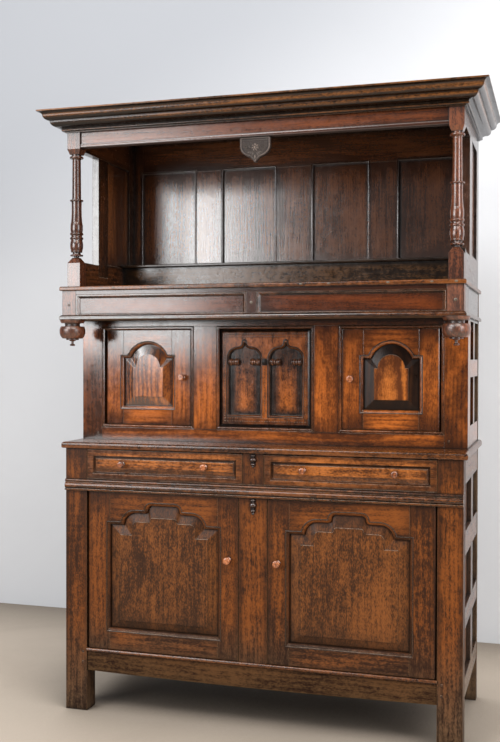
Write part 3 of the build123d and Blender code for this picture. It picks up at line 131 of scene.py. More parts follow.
class Web:
    """A node tree, with one way to make every node in it."""

    def __init__(self, tree: bpy.types.NodeTree) -> None:
        """Start a web in an empty tree.

        Args:
            tree: The tree to fill.
        """
        self.tree = tree

    def node(
        self,
        kind: str,
        settings: dict[str, object] | None = None,
        inputs: dict[str | int, Value] | None = None,
        output: str | int = 0,
    ) -> Signal:
        """Make one node.

        Args:
            kind: Blender's name for the type of node.
            settings: What is set on the node before its inputs.
            inputs: Values or signals for its inputs, by name or number.
            output: The output to hand back, by name or number.

        Returns:
            The chosen output.
        """
        made = self.tree.nodes.new(kind)
        for name, value in (settings or {}).items():
            setattr(made, name, value)
        for name, value in (inputs or {}).items():
            if isinstance(value, Signal):
                self.tree.links.new(value.socket, made.inputs[name])
            else:
                made.inputs[name].default_value = value
        return Signal(self, made.outputs[output] if made.outputs else made.inputs[0])

    def maths(self, operation: str, first: Value, second: Value) -> Signal:
        """Join two values by arithmetic, part by part where one is a vector.

        Args:
            operation: Blender's name for the sum.
            first: The left value.
            second: The right value.

        Returns:
            The answer.
        """
        values = (first, second)
        plain = [isinstance(value, (int, float)) for value in values]
        if all(bare or isinstance(value, Signal) and not value.is_vector
               for bare, value in zip(plain, values)):
            return self.node("ShaderNodeMath", {"operation": operation}, dict(enumerate(values)))
        spread = [(value,) * 3 if bare else value for bare, value in zip(plain, values)]
        return self.node("ShaderNodeVectorMath", {"operation": operation}, dict(enumerate(spread)))

    def least(self, first: Value, second: Value) -> Signal:
        """The smaller of two values."""
        return self.maths("MINIMUM", first, second)

    def most(self, first: Value, second: Value) -> Signal:
        """The larger of two values."""
        return self.maths("MAXIMUM", first, second)

    def dot(self, first: Value, second: Value) -> Signal:
        """How far one vector reaches along another."""
        settings = {"operation": "DOT_PRODUCT"}
        return self.node("ShaderNodeVectorMath", settings, {0: first, 1: second}, "Value")

    def length(self, vector: Signal) -> Signal:
        """A vector's length."""
        return self.node("ShaderNodeVectorMath", {"operation": "LENGTH"}, {0: vector}, "Value")

    def parts(self, vector: Signal) -> list[Signal]:
        """A vector's three parts."""
        split = self.node("ShaderNodeSeparateXYZ", None, {0: vector}).socket.node
        return [Signal(self, out) for out in split.outputs]

    def joined(self, x: Value, y: Value, z: Value) -> Signal:
        """A vector made from three parts."""
        return self.node("ShaderNodeCombineXYZ", None, {0: x, 1: y, 2: z})

    def stray(self, pattern: Signal, share: float) -> Signal:
        """A share of how far a pattern strays from its middle."""
        return (pattern - 0.5) * share

    def band(self, value: Value, low: float, high: float) -> Signal:
        """A soft step from 0 at low to 1 at high."""
        settings = {"interpolation_type": "SMOOTHSTEP", "clamp": True}
        return self.node("ShaderNodeMapRange", settings, {0: value, 1: low, 2: high})

    def noise(self, place: Value, detail: float, rough: float, bend: float = 0.0) -> Signal:
        """Smooth random values about 0.5 over a place that is already scaled."""
        return self.node("ShaderNodeTexNoise", {"noise_dimensions": "3D"},
                         {"Vector": place, "Scale": 1.0, "Detail": detail, "Roughness": rough,
                          "Distortion": bend})

    def mix(self, share: Value, first: Value, second: Value) -> Signal:
        """Mix two colours.

        Args:
            share: How much of the second shows.
            first: The first colour.
            second: The second colour.

        Returns:
            The mixed colour.
        """
        colours = {number: value if isinstance(value, Signal) else (*value, 1.0)
                   for number, value in ((6, first), (7, second))}
        settings = {"data_type": "RGBA", "blend_type": "MIX", "clamp_factor": True}
        return self.node("ShaderNodeMix", settings, {0: share, **colours}, 2)

    def sway(self, value: Signal) -> Signal:
        """The sine of a value."""
        return self.node("ShaderNodeMath", {"operation": "SINE"}, {0: value})

    def size(self, value: Signal) -> Signal:
        """A value without its sign."""
        return self.node("ShaderNodeMath", {"operation": "ABSOLUTE"}, {0: value})

    def spread(self, vector: Signal) -> Signal:
        """A vector without the signs of its parts."""
        return self.node("ShaderNodeVectorMath", {"operation": "ABSOLUTE"}, {0: vector})

    def shade(self, reach: float, samples: int, inside: bool = False) -> Signal:
        """How hemmed in a spot is, within a reach of it.

        Args:
            reach: How far the hemming counts.
            samples: How many directions are tried.
            inside: Whether to look into the solid, which finds its sharp edges.

        Returns:
            0 in the open, towards 1 where hemmed in.
        """
        open_share = self.node("ShaderNodeAmbientOcclusion",
                               {"samples": samples, "inside": inside, "only_local": inside},
                               {"Distance": reach}, "AO")
        return 1.0 - open_share

    def value(self, name: str, output: str) -> Signal:
        """A value stored on the mesh under a name."""
        settings = {"attribute_type": "GEOMETRY", "attribute_name": name}
        return self.node("ShaderNodeAttribute", settings, None, output)


# ---- What each board is: its middle, its reach, its grain and its own luck ----
class Mark(Enum):
    """The values that every vertex holds about the board it is part of."""

    MIDDLE = "board_middle"
    REACH = "board_reach"
    GRAIN = "board_grain"
    LUCK = "board_luck"


@dataclass
class BoardMarks:
    """Tells the boards of a mesh apart and writes down which way the grain runs in each."""

    seed: int = 1687
    open_side: float = 1.0
    luck: random.Random = field(init=False)

    def __post_init__(self) -> None:
        """Start the draw of lucky numbers."""
        self.luck = random.Random(self.seed)

    def solids(self, mesh: bpy.types.Mesh) -> np.ndarray:
        """Number the closed solids of a mesh.

        Args:
            mesh: A mesh whose faces meet edge to edge within a solid.

        Returns:
            The solid's number for each vertex.
        """
        places = np.array([v.co for v in mesh.vertices], float)
        cells = np.round(places / WELD_STEP).astype(np.int64)
        _, spot = np.unique(cells, axis=0, return_inverse=True)
        spot = spot.ravel()
        parent = list(range(len(mesh.polygons)))

        def root(face: int) -> int:
            """The face that stands for a face's solid."""
            while parent[face] != face:
                parent[face] = parent[parent[face]]
                face = parent[face]
            return face

        edges: dict[tuple[int, int], list[int]] = {}
        for polygon in mesh.polygons:
            corners = [int(spot[v]) for v in polygon.vertices]
            for a, b in zip(corners, corners[1:] + corners[:1]):
                if a != b:
                    edges.setdefault((min(a, b), max(a, b)), []).append(polygon.index)
        for faces in edges.values():
            for first, second in zip(faces[0::2], faces[1::2]):
                parent[root(first)] = root(second)
        numbers = np.zeros(len(places), int)
        for polygon in mesh.polygons:
            for vertex in polygon.vertices:
                numbers[vertex] = root(polygon.index)
        return numbers

    def write(self, source: bpy.types.Mesh, target: bpy.types.Mesh) -> int:
        """Store the marks of one mesh's boards on another with the same vertices.

        Args:
            source: The mesh to read.
            target: The mesh to write on.

        Returns:
            How many boards there are.
        """
        places = np.array([v.co for v in source.vertices], float)
        numbers = self.solids(source)
        values = {mark: np.zeros((len(places), 3), np.float32) for mark in Mark}
        boards = sorted(set(numbers.tolist()),
                        key=lambda number: tuple(places[numbers == number].min(0).round(4)))
        for number in boards:
            own = numbers == number
            low, high = places[own].min(0), places[own].max(0)
            half = (high - low) / 2
            reach = half.copy()
            reach[int(half.argmin())] = self.open_side
            grain = np.zeros(3)
            grain[int(half.argmax())] = 1.0
            values[Mark.MIDDLE][own] = (low + high) / 2
            values[Mark.REACH][own] = reach
            values[Mark.GRAIN][own] = grain
            values[Mark.LUCK][own] = self.luck.random()
        for mark, table in values.items():
            single = mark is Mark.LUCK
            kind = "FLOAT" if single else "FLOAT_VECTOR"
            layer = target.attributes.new(mark.value, kind, "POINT")
            if single:
                layer.data.foreach_set("value", np.ascontiguousarray(table[:, 0]))
            else:
                layer.data.foreach_set("vector", table.ravel())
        return len(boards)

    def carrier(self) -> bpy.types.NodeTree:
        """Make the modifier tree that hands the marks of a twin mesh to a made part.

        Returns:
            The tree, with the part's geometry and the twin as its inputs.
        """
        tree = bpy.data.node_groups.new("board_marks", "GeometryNodeTree")
        tree.interface.new_socket("Geometry", in_out="INPUT", socket_type="NodeSocketGeometry")
        tree.interface.new_socket("Twin", in_out="INPUT", socket_type="NodeSocketObject")
        tree.interface.new_socket("Geometry", in_out="OUTPUT", socket_type="NodeSocketGeometry")
        web = Web(tree)
        entry = web.node("NodeGroupInput").socket.node
        shape = Signal(web, entry.outputs[0])
        twin = web.node("GeometryNodeObjectInfo", {"transform_space": "ORIGINAL"},
                        {"Object": Signal(web, entry.outputs[1])}, "Geometry")
        index = web.node("GeometryNodeInputIndex")
        for mark in Mark:
            kind = "FLOAT" if mark is Mark.LUCK else "FLOAT_VECTOR"
            settings = {"data_type": kind, "domain": "POINT"}
            stored = web.node("GeometryNodeInputNamedAttribute", {"data_type": kind},
                              {"Name": mark.value})
            found = web.node("GeometryNodeSampleIndex", settings,
                             {"Geometry": twin, "Value": stored, "Index": index})
            shape = web.node("GeometryNodeStoreNamedAttribute", settings,
                             {"Geometry": shape, "Name": mark.value, "Value": found})
        web.node("NodeGroupOutput", None, {0: shape})
        return tree


# ---- Finishes ----
@dataclass(frozen=True)
class Finish:
    """A finish that a part of the cupboard or the stage can take."""

    name: str

    def surface(self, web: Web) -> Signal:
        """Lay out the finish's shader."""
        raise NotImplementedError

    def dress(self) -> bpy.types.Material:
        """Build the finish.

        Returns:
            The material.
        """
        material = bpy.data.materials.new(self.name)
        material.use_nodes = True
        material.node_tree.nodes.clear()
        web = Web(material.node_tree)
        web.node("ShaderNodeOutputMaterial", None, {0: self.surface(web)})
        return material


@dataclass(frozen=True)
class Niche:
    """The painted shadow and painted warm light of a pair of arched niches: black at the edges and
    the head, warm in the middle.
    """

    centre: float = 0.071
    half: float = 0.054
    low: Band = (0.996, 1.03)
    glow: Band = (1.03, 1.13)
    head: Band = (1.11, 1.19)
    face: Band = (-0.0985, -0.0965)
    edge: Band = (0.25, 0.85)
    warm_half: float = 0.7
    warm_share: float = 0.8
    foot_stray: float = 0.03
    head_stray: float = 0.08
    head_dark: float = 0.8
    darkest: float = 0.92

    def light(self, web: Web, place: Signal, stray: Signal) -> tuple[Signal, Signal]:
        """Work out the painted shadow and painted light in the niches.

        Args:
            web: The material's web.
            place: Where the spot is.
            stray: A random value that makes the borders uneven.

        Returns:
            How much painted shadow and how much painted warm light the spot takes.
        """
        x, y, z = web.parts(place)
        inside = web.band(y, *self.face)
        off = web.size(web.size(x) - self.centre) / self.half + stray
        near_edge = web.band(off, *self.edge)
        near_foot = 1.0 - web.band(z + stray * self.foot_stray, *self.low)
        near_head = web.band(z + stray * self.head_stray, *self.head) * self.head_dark
        shadow = web.most(near_edge, web.most(near_foot, near_head)) * inside * self.darkest
        glow = (1.0 - web.band(z, *self.glow)) * (1.0 - web.band(off, 0.0, self.warm_half)) * inside
        return shadow, glow * self.warm_share


@dataclass(frozen=True)
class Habits:
    """What all oak does alike: how fine its patterns are, and where each soft step lies."""

    luck_shift: Point = (31.7, 17.3, 53.9)
    fibre_pitch: Band = (210.0, 9.0)
    fibre_noise: Band = (3.0, 0.62)
    speck_pitch: Band = (340.0, 120.0)
    speck_noise: Band = (2.0, 0.62)
    cloud_pitch: float = 9.0
    cloud_noise: Point = (4.0, 0.6, 0.5)
    mottle_pitch: float = 44.0
    mottle_noise: Band = (5.0, 0.7)
    pith_turns: Point = (41.0, 67.0, 89.0)
    pith_reach: float = 0.11
    ring_bend: Point = (0.012, 0.03, 0.002)
    luck_share: float = 0.1
    body: Band = (0.26, 0.7)
    warm: Band = (0.36, 0.78)
    weathered: Band = (0.3, 0.68)
    niche_warm: Band = (0.2, 0.7)
    margin_stray: Band = (0.04, 0.018)
    end_stray: float = 2.5
    past_ends: float = 9.0
    foot_stray: float = 0.35
    niche_stray: float = 0.35
    eave_stray: float = 0.05
    eave_dark: float = 0.9
    slope: Band = (0.004, 0.02)
    slope_up: Band = (0.02, 0.15)
    slope_up_share: float = 0.8
    slope_most: float = 0.95
    joint_reach: float = 0.0025
    rim: Band = (0.02, 0.14)
    rim_stray: float = 0.06
    rim_clear: Band = (0.1, 0.4)
    seam: Band = (0.15, 0.4)
    seam_flat: Band = (0.01, 0.06)
    seam_dark: float = 0.85
    shine: Band = (0.12, 0.4)
    shine_clear: Band = (0.15, 0.5)
    shine_patch: Band = (0.36, 0.56)
    soil_stray: float = 0.2
    dirt: Band = (0.17, 0.62)
    lines: Band = (0.2, 0.6)
    rough_slope: Band = (0.1, 0.5)
    rough_shares: Band = (0.2, 0.3)
    soil_rough: float = 0.1
    rim_smooth: float = 0.12
    bump_shares: Band = (0.5, 0.3)
    bump_depth: float = 0.0006


OAK = Habits()


@dataclass(frozen=True)
class Board:
    """What a finish reads at a spot: where it lies in its board, how it faces, and its patterns."""

    place: Signal
    local: Signal
    local_run: Signal
    reach: Signal
    grain: Signal
    luck: Signal
    fibre: Signal
    specks: Signal
    cloud: Signal
    mottle: Signal
    ring: Signal
    level: Signal
    rounded: Signal


@dataclass(frozen=True)
class OakFinish(Finish):
    """Oak under old wax: black in its hollows from soiling and painted shade, warm in its middles,
    pale along its edges from rubbing and painted highlights.
    """

    deep: Colour
    body: Colour
    warm: Colour
    pore: Colour | None = None
    # Near-black for real soiling in joints and hollows, and for painted shade in hollows, creases,
    # undersides, below an overhang and in niches.
    grime: Colour = tone(10, 6, 4)
    grey: Colour = tone(104, 88, 70)
    # Pale tones painted on edges: the first is part rubbing, part painted highlight; the second is
    # a painted highlight on edges that face up.
    worn: Colour = tone(186, 138, 92)
    polish: Colour = tone(206, 184, 164)
    ring_pitch: float = 0.006
    ring_share: float = 0.14
    fibre_share: float = 0.42
    speck_share: float = 0.7
    cloud_share: float = 0.6
    cloud_stretch: float = 3.6
    mottle_share: float = 0.5
    middle_glow: float = 0.85
    side_margin: Band = (-0.006, 0.026)
    end_margin: Band = (-0.02, 0.09)
    margin_dark: float = 0.55
    # How much occlusion darkens hollows and creases: part soiling, part painted shade.
    dirt: float = 0.95
    dirt_reach: float = 0.04
    line_dirt: float = 0.9
    line_reach: float = 0.008
    wear: float = 0.4
    shine: float = 0.7
    foot_grey: float = 0.0
    foot_height: float = 0.4
    # Painted shade on slopes, on faces turned downward and below an overhang.
    slope_dark: float = 0.0
    under_dark: float = 0.0
    under_lean: Band = (0.5, 0.95)
    eave: Band | None = None
    niche: Niche | None = None
    rough: float = 0.34
    gloss: float = 0.5
    bend: float = 1.5
    relief: float = 0.3
    dents: float = 0.9
    patchy: float = 1.0
    slope_rough: float = 0.0
    arris: float = 0.0018

    def like(self, name: str, *tones: Colour, **changes: object) -> "OakFinish":
        """Copy this finish with other tones and settings.

        Args:
            name: The copy's name.
            tones: Its deep, body, warm and pore tones, as far as they change.
            changes: Its other settings, by name.

        Returns:
            The copy.
        """
        named = dict(zip(("deep", "body", "warm", "pore"), tones))
        return replace(self, name=name, **named, **changes)

    def read(self, web: Web) -> Board:
        """Read where each spot lies and lay the oak's patterns over it.

        Args:
            web: The material's web.

        Returns:
            What the rest of the finish is drawn from.
        """
        place = web.node("ShaderNodeTexCoord", None, None, "Object")
        middle, reach, grain = (web.value(mark.value, "Vector")
                                for mark in (Mark.MIDDLE, Mark.REACH, Mark.GRAIN))
        luck = web.value(Mark.LUCK.value, "Fac")
        shift = web.joined(*(luck * step for step in OAK.luck_shift))
        run = web.dot(place, grain)
        along = grain * run
        across = place - along

        def pattern(pitch: Band, noise: Sequence[float]) -> Signal:
            """A pattern with one pitch across the grain and another along it."""
            return web.noise(across * pitch[0] + along * pitch[1] + shift, *noise)

        fibre = pattern(OAK.fibre_pitch, OAK.fibre_noise)
        specks = pattern(OAK.speck_pitch, OAK.speck_noise)
        cloud = pattern((OAK.cloud_pitch, self.cloud_stretch), OAK.cloud_noise)
        mottle = web.noise(place * OAK.mottle_pitch + shift, *OAK.mottle_noise)
        local = place - middle
        local_run = web.dot(local, grain)
        pith = web.joined(*(web.sway(luck * turns) * OAK.pith_reach for turns in OAK.pith_turns))
        run_bend, cloud_bend, fibre_bend = OAK.ring_bend
        radius = (web.length(local - grain * local_run + pith)
                  + run * run_bend + cloud * cloud_bend + fibre * fibre_bend)
        ring = web.maths("PINGPONG", radius / self.ring_pitch, 1.0)
        level = web.node("ShaderNodeNewGeometry", None, None, "Normal")
        rounded = level
        if self.arris:
            rounded = web.node("ShaderNodeBevel", {"samples": 5}, {"Radius": self.arris})
        return Board(place, local, local_run, reach, grain, luck, fibre, specks, cloud, mottle,
                     ring, level, rounded)

    def stained(self, web: Web, board: Board) -> Signal:
        """Colour the wood: its figure, warm middle and dark margins, then its feet, and the painted
        shadow and painted warm light of its niches.

        Args:
            web: The material's web.
            board: What the finish is drawn from.

        Returns:
            The colour.
        """
        shares = ((board.fibre, self.fibre_share), (board.specks, self.speck_share),
                  (board.cloud, self.cloud_share), (board.mottle, self.mottle_share),
                  (board.ring, self.ring_share), (board.luck, OAK.luck_share))
        tonal = sum((web.stray(pattern, share) for pattern, share in shares), 0.5)
        colour = web.mix(web.band(tonal, *OAK.body), self.pore or self.deep, self.body)
        cloud_stray, mottle_stray = OAK.margin_stray
        stray = web.stray(board.cloud, cloud_stray) + web.stray(board.mottle, mottle_stray)
        spare = web.parts(board.reach + board.grain * OAK.past_ends - web.spread(board.local))
        side = web.least(web.least(spare[0], spare[1]), spare[2]) + stray
        end = web.dot(board.reach, board.grain) - web.size(board.local_run) + stray * OAK.end_stray
        centre = web.band(side, *self.side_margin) * web.band(end, *self.end_margin)
        colour = web.mix(web.band(tonal, *OAK.warm) * centre * self.middle_glow, colour, self.warm)
        colour = web.mix((1.0 - centre) * self.margin_dark, colour, self.deep)
        if self.foot_grey:
            height = web.parts(board.place)[2] + web.stray(board.cloud, OAK.foot_stray)
            low = 1.0 - web.band(height, 0.0, self.foot_height)
            weathered = web.mix(web.band(tonal, *OAK.weathered), self.deep, self.grey)
            colour = web.mix(low * self.foot_grey, colour, weathered)
        # Painted light and shadow in the niches: a warm pool low in the middle, black at the edges,
        # foot and head.
        if self.niche:
            stray = web.stray(board.mottle, OAK.niche_stray)
            shadow, glow = self.niche.light(web, board.place, stray)
            colour = web.mix(glow * web.band(tonal, *OAK.niche_warm), colour, self.warm)
            colour = web.mix(shadow, colour, self.grime)
        return colour

    def darkened(self, web: Web, board: Board, colour: Signal) -> Signal:
        """Paint shade on what faces away from the light: slopes, undersides and the wood below an
        overhang.

        Args:
            web: The material's web.
            board: What the finish is drawn from.
            colour: The colour so far.

        Returns:
            The colour with its darker parts.
        """
        # Painted shade on slopes, most on the ones tilted upward.
        if self.slope_dark:
            _, facing, rising = web.parts(board.level)
            steep = web.band(1.0 - web.size(facing), *OAK.slope)
            steep = steep * (web.band(rising, *OAK.slope_up) * OAK.slope_up_share + 1.0)
            colour = web.mix(web.least(steep * self.slope_dark, OAK.slope_most), colour, self.deep)
        # Painted shade on faces that turn downward.
        if self.under_dark:
            under = web.band(-1.0 * web.parts(board.rounded)[2], *self.under_lean)
            colour = web.mix(under * self.under_dark, colour, self.grime)
        # Painted shadow on the wood below an overhang.
        if self.eave:
            height = web.parts(board.place)[2] + web.stray(board.cloud, OAK.eave_stray)
            colour = web.mix(web.band(height, *self.eave) * OAK.eave_dark, colour, self.grime)
        return colour

    def aged(self, web: Web, board: Board, colour: Signal) -> tuple[Signal, Signal, Signal]:
        """Pale the edges with rubbing and painted highlights, paint a highlight along edges that
        face up, and darken the joints and, with soiling and painted shade, the hollows and lines.

        Args:
            web: The material's web.
            board: What the finish is drawn from.
            colour: The colour so far.

        Returns:
            The colour, how soiled and painted dark each spot is, and how pale each edge is from
            rubbing and painted highlight.
        """
        hollow, tight = web.shade(self.dirt_reach, 5), web.shade(self.line_reach, 4)
        joint = web.shade(OAK.joint_reach, 4, True)
        # Pale convex edges: part rubbing, part painted highlight.
        lean = 1.0 - web.dot(board.rounded, board.level)
        rim = web.band(lean + web.stray(board.mottle, OAK.rim_stray), *OAK.rim)
        rim = rim * (1.0 - web.band(tight, *OAK.rim_clear))
        seam = web.band(joint, *OAK.seam) * (1.0 - web.band(lean, *OAK.seam_flat))
        colour = web.mix(rim * self.wear, colour, self.worn)
        # Painted highlight along edges that face up.
        rise = web.parts(board.rounded)[2] - web.parts(board.level)[2]
        shine = web.band(rise, *OAK.shine) * (1.0 - web.band(tight, *OAK.shine_clear))
        shine = shine * web.band(board.mottle, *OAK.shine_patch)
        colour = web.mix(shine * self.shine, colour, self.polish)
        # Dark hollows and creases found by occlusion: part soiling, part painted shade; the seams
        # are real dark joints.
        stray = web.stray(board.mottle, OAK.soil_stray)
        dirt = web.band(hollow + stray, *OAK.dirt) * self.dirt
        lines = web.band(tight + stray, *OAK.lines) * self.line_dirt
        soil = web.most(web.most(dirt, lines), seam * OAK.seam_dark)
        return web.mix(soil, colour, self.grime), soil, rim

    def surface(self, web: Web) -> Signal:
        """Lay out the shader.

        Args:
            web: The material's web.

        Returns:
            The shader.
        """
        board = self.read(web)
        shaded = self.darkened(web, board, self.stained(web, board))
        colour, soil, rim = self.aged(web, board, shaded)
        uneven = (web.stray(board.fibre, OAK.rough_shares[0])
                  + web.stray(board.mottle, OAK.rough_shares[1])) * self.patchy
        rough = uneven + soil * OAK.soil_rough - rim * OAK.rim_smooth + self.rough
        if self.slope_rough:
            steep = web.band(web.size(web.parts(board.level)[2]), *OAK.rough_slope)
            rough = rough + steep * self.slope_rough
        fibre_share, speck_share = OAK.bump_shares
        height = board.fibre * fibre_share + board.specks * speck_share + board.mottle * self.dents
        bump = web.node("ShaderNodeBump", None, {
            "Strength": self.relief, "Distance": OAK.bump_depth, "Height": height,
            "Normal": board.rounded})
        return web.node("ShaderNodeBsdfPrincipled", None, {
            "Base Color": colour, "Roughness": rough, "Normal": bump,
            "Specular IOR Level": self.gloss, "IOR": self.bend})


@dataclass(frozen=True)
class IronFinish(Finish):
    """Forged iron, dull and brown-black with a little rust."""

    name: str = "forged_iron"
    dark: Colour = tone(38, 33, 30)
    rust: Colour = tone(92, 56, 36)
    patch_pitch: float = 260.0
    patch_band: Band = (0.5, 0.7)
    rough: float = 0.4
    rough_spread: float = 0.3
    metal: float = 0.8
    relief: float = 0.4
    bump_depth: float = 0.0005

    def surface(self, web: Web) -> Signal:
        """Lay out the shader.

        Args:
            web: The material's web.

        Returns:
            The shader.
        """
        place = web.node("ShaderNodeTexCoord", None, None, "Object")
        patches = web.noise(place * self.patch_pitch, 4.0, 0.6)
        colour = web.mix(web.band(patches, *self.patch_band), self.dark, self.rust)
        bump = web.node("ShaderNodeBump", None, {
            "Strength": self.relief, "Distance": self.bump_depth, "Height": patches})
        return web.node("ShaderNodeBsdfPrincipled", None, {
            "Base Color": colour, "Roughness": patches * self.rough_spread + self.rough,
            "Metallic": self.metal, "Normal": bump})


@dataclass(frozen=True)
class StageFinish(Finish):
    """A plain pale surface of the studio, clear when seen from its back, with a painted shadow near
    the cupboard and a painted dimming where they are set.
    """

    pale: Colour
    veined: Colour
    scale: float
    rough: float
    gloss: float = 0.1
    vein_band: Band = (0.42, 0.66)
    shadow: Colour = tone(52, 42, 33)
    contact: float = 0.0
    contact_reach: float = 0.5
    dim: Colour | None = None
    dim_reach: Band = (1.7, 3.1)
    dim_lean: float = 0.55

    def surface(self, web: Web) -> Signal:
        """Lay out the shader.

        Args:
            web: The material's web.

        Returns:
            The shader.
        """
        place = web.node("ShaderNodeTexCoord", None, None, "Object")
        veins = web.noise(place * self.scale, 6.0, 0.62, 0.9)
        colour = web.mix(web.band(veins, *self.vein_band), self.pale, self.veined)
        # Painted shade: the wall dims upward and to the left.
        if self.dim:
            x, _, z = web.parts(place)
            colour = web.mix(web.band(z - x * self.dim_lean, *self.dim_reach), colour, self.dim)
        # Painted shadow on the floor near the cupboard, found by occlusion.
        near = web.shade(self.contact_reach, 8) * self.contact
        shader = web.node("ShaderNodeBsdfPrincipled", None, {
            "Base Color": web.mix(near, colour, self.shadow), "Roughness": self.rough,
            "Specular IOR Level": self.gloss})
        clear = web.node("ShaderNodeBsdfTransparent")
        behind = web.node("ShaderNodeNewGeometry", None, None, "Backfacing")
        return web.node("ShaderNodeMixShader", None, {0: behind, 1: shader, 2: clear})


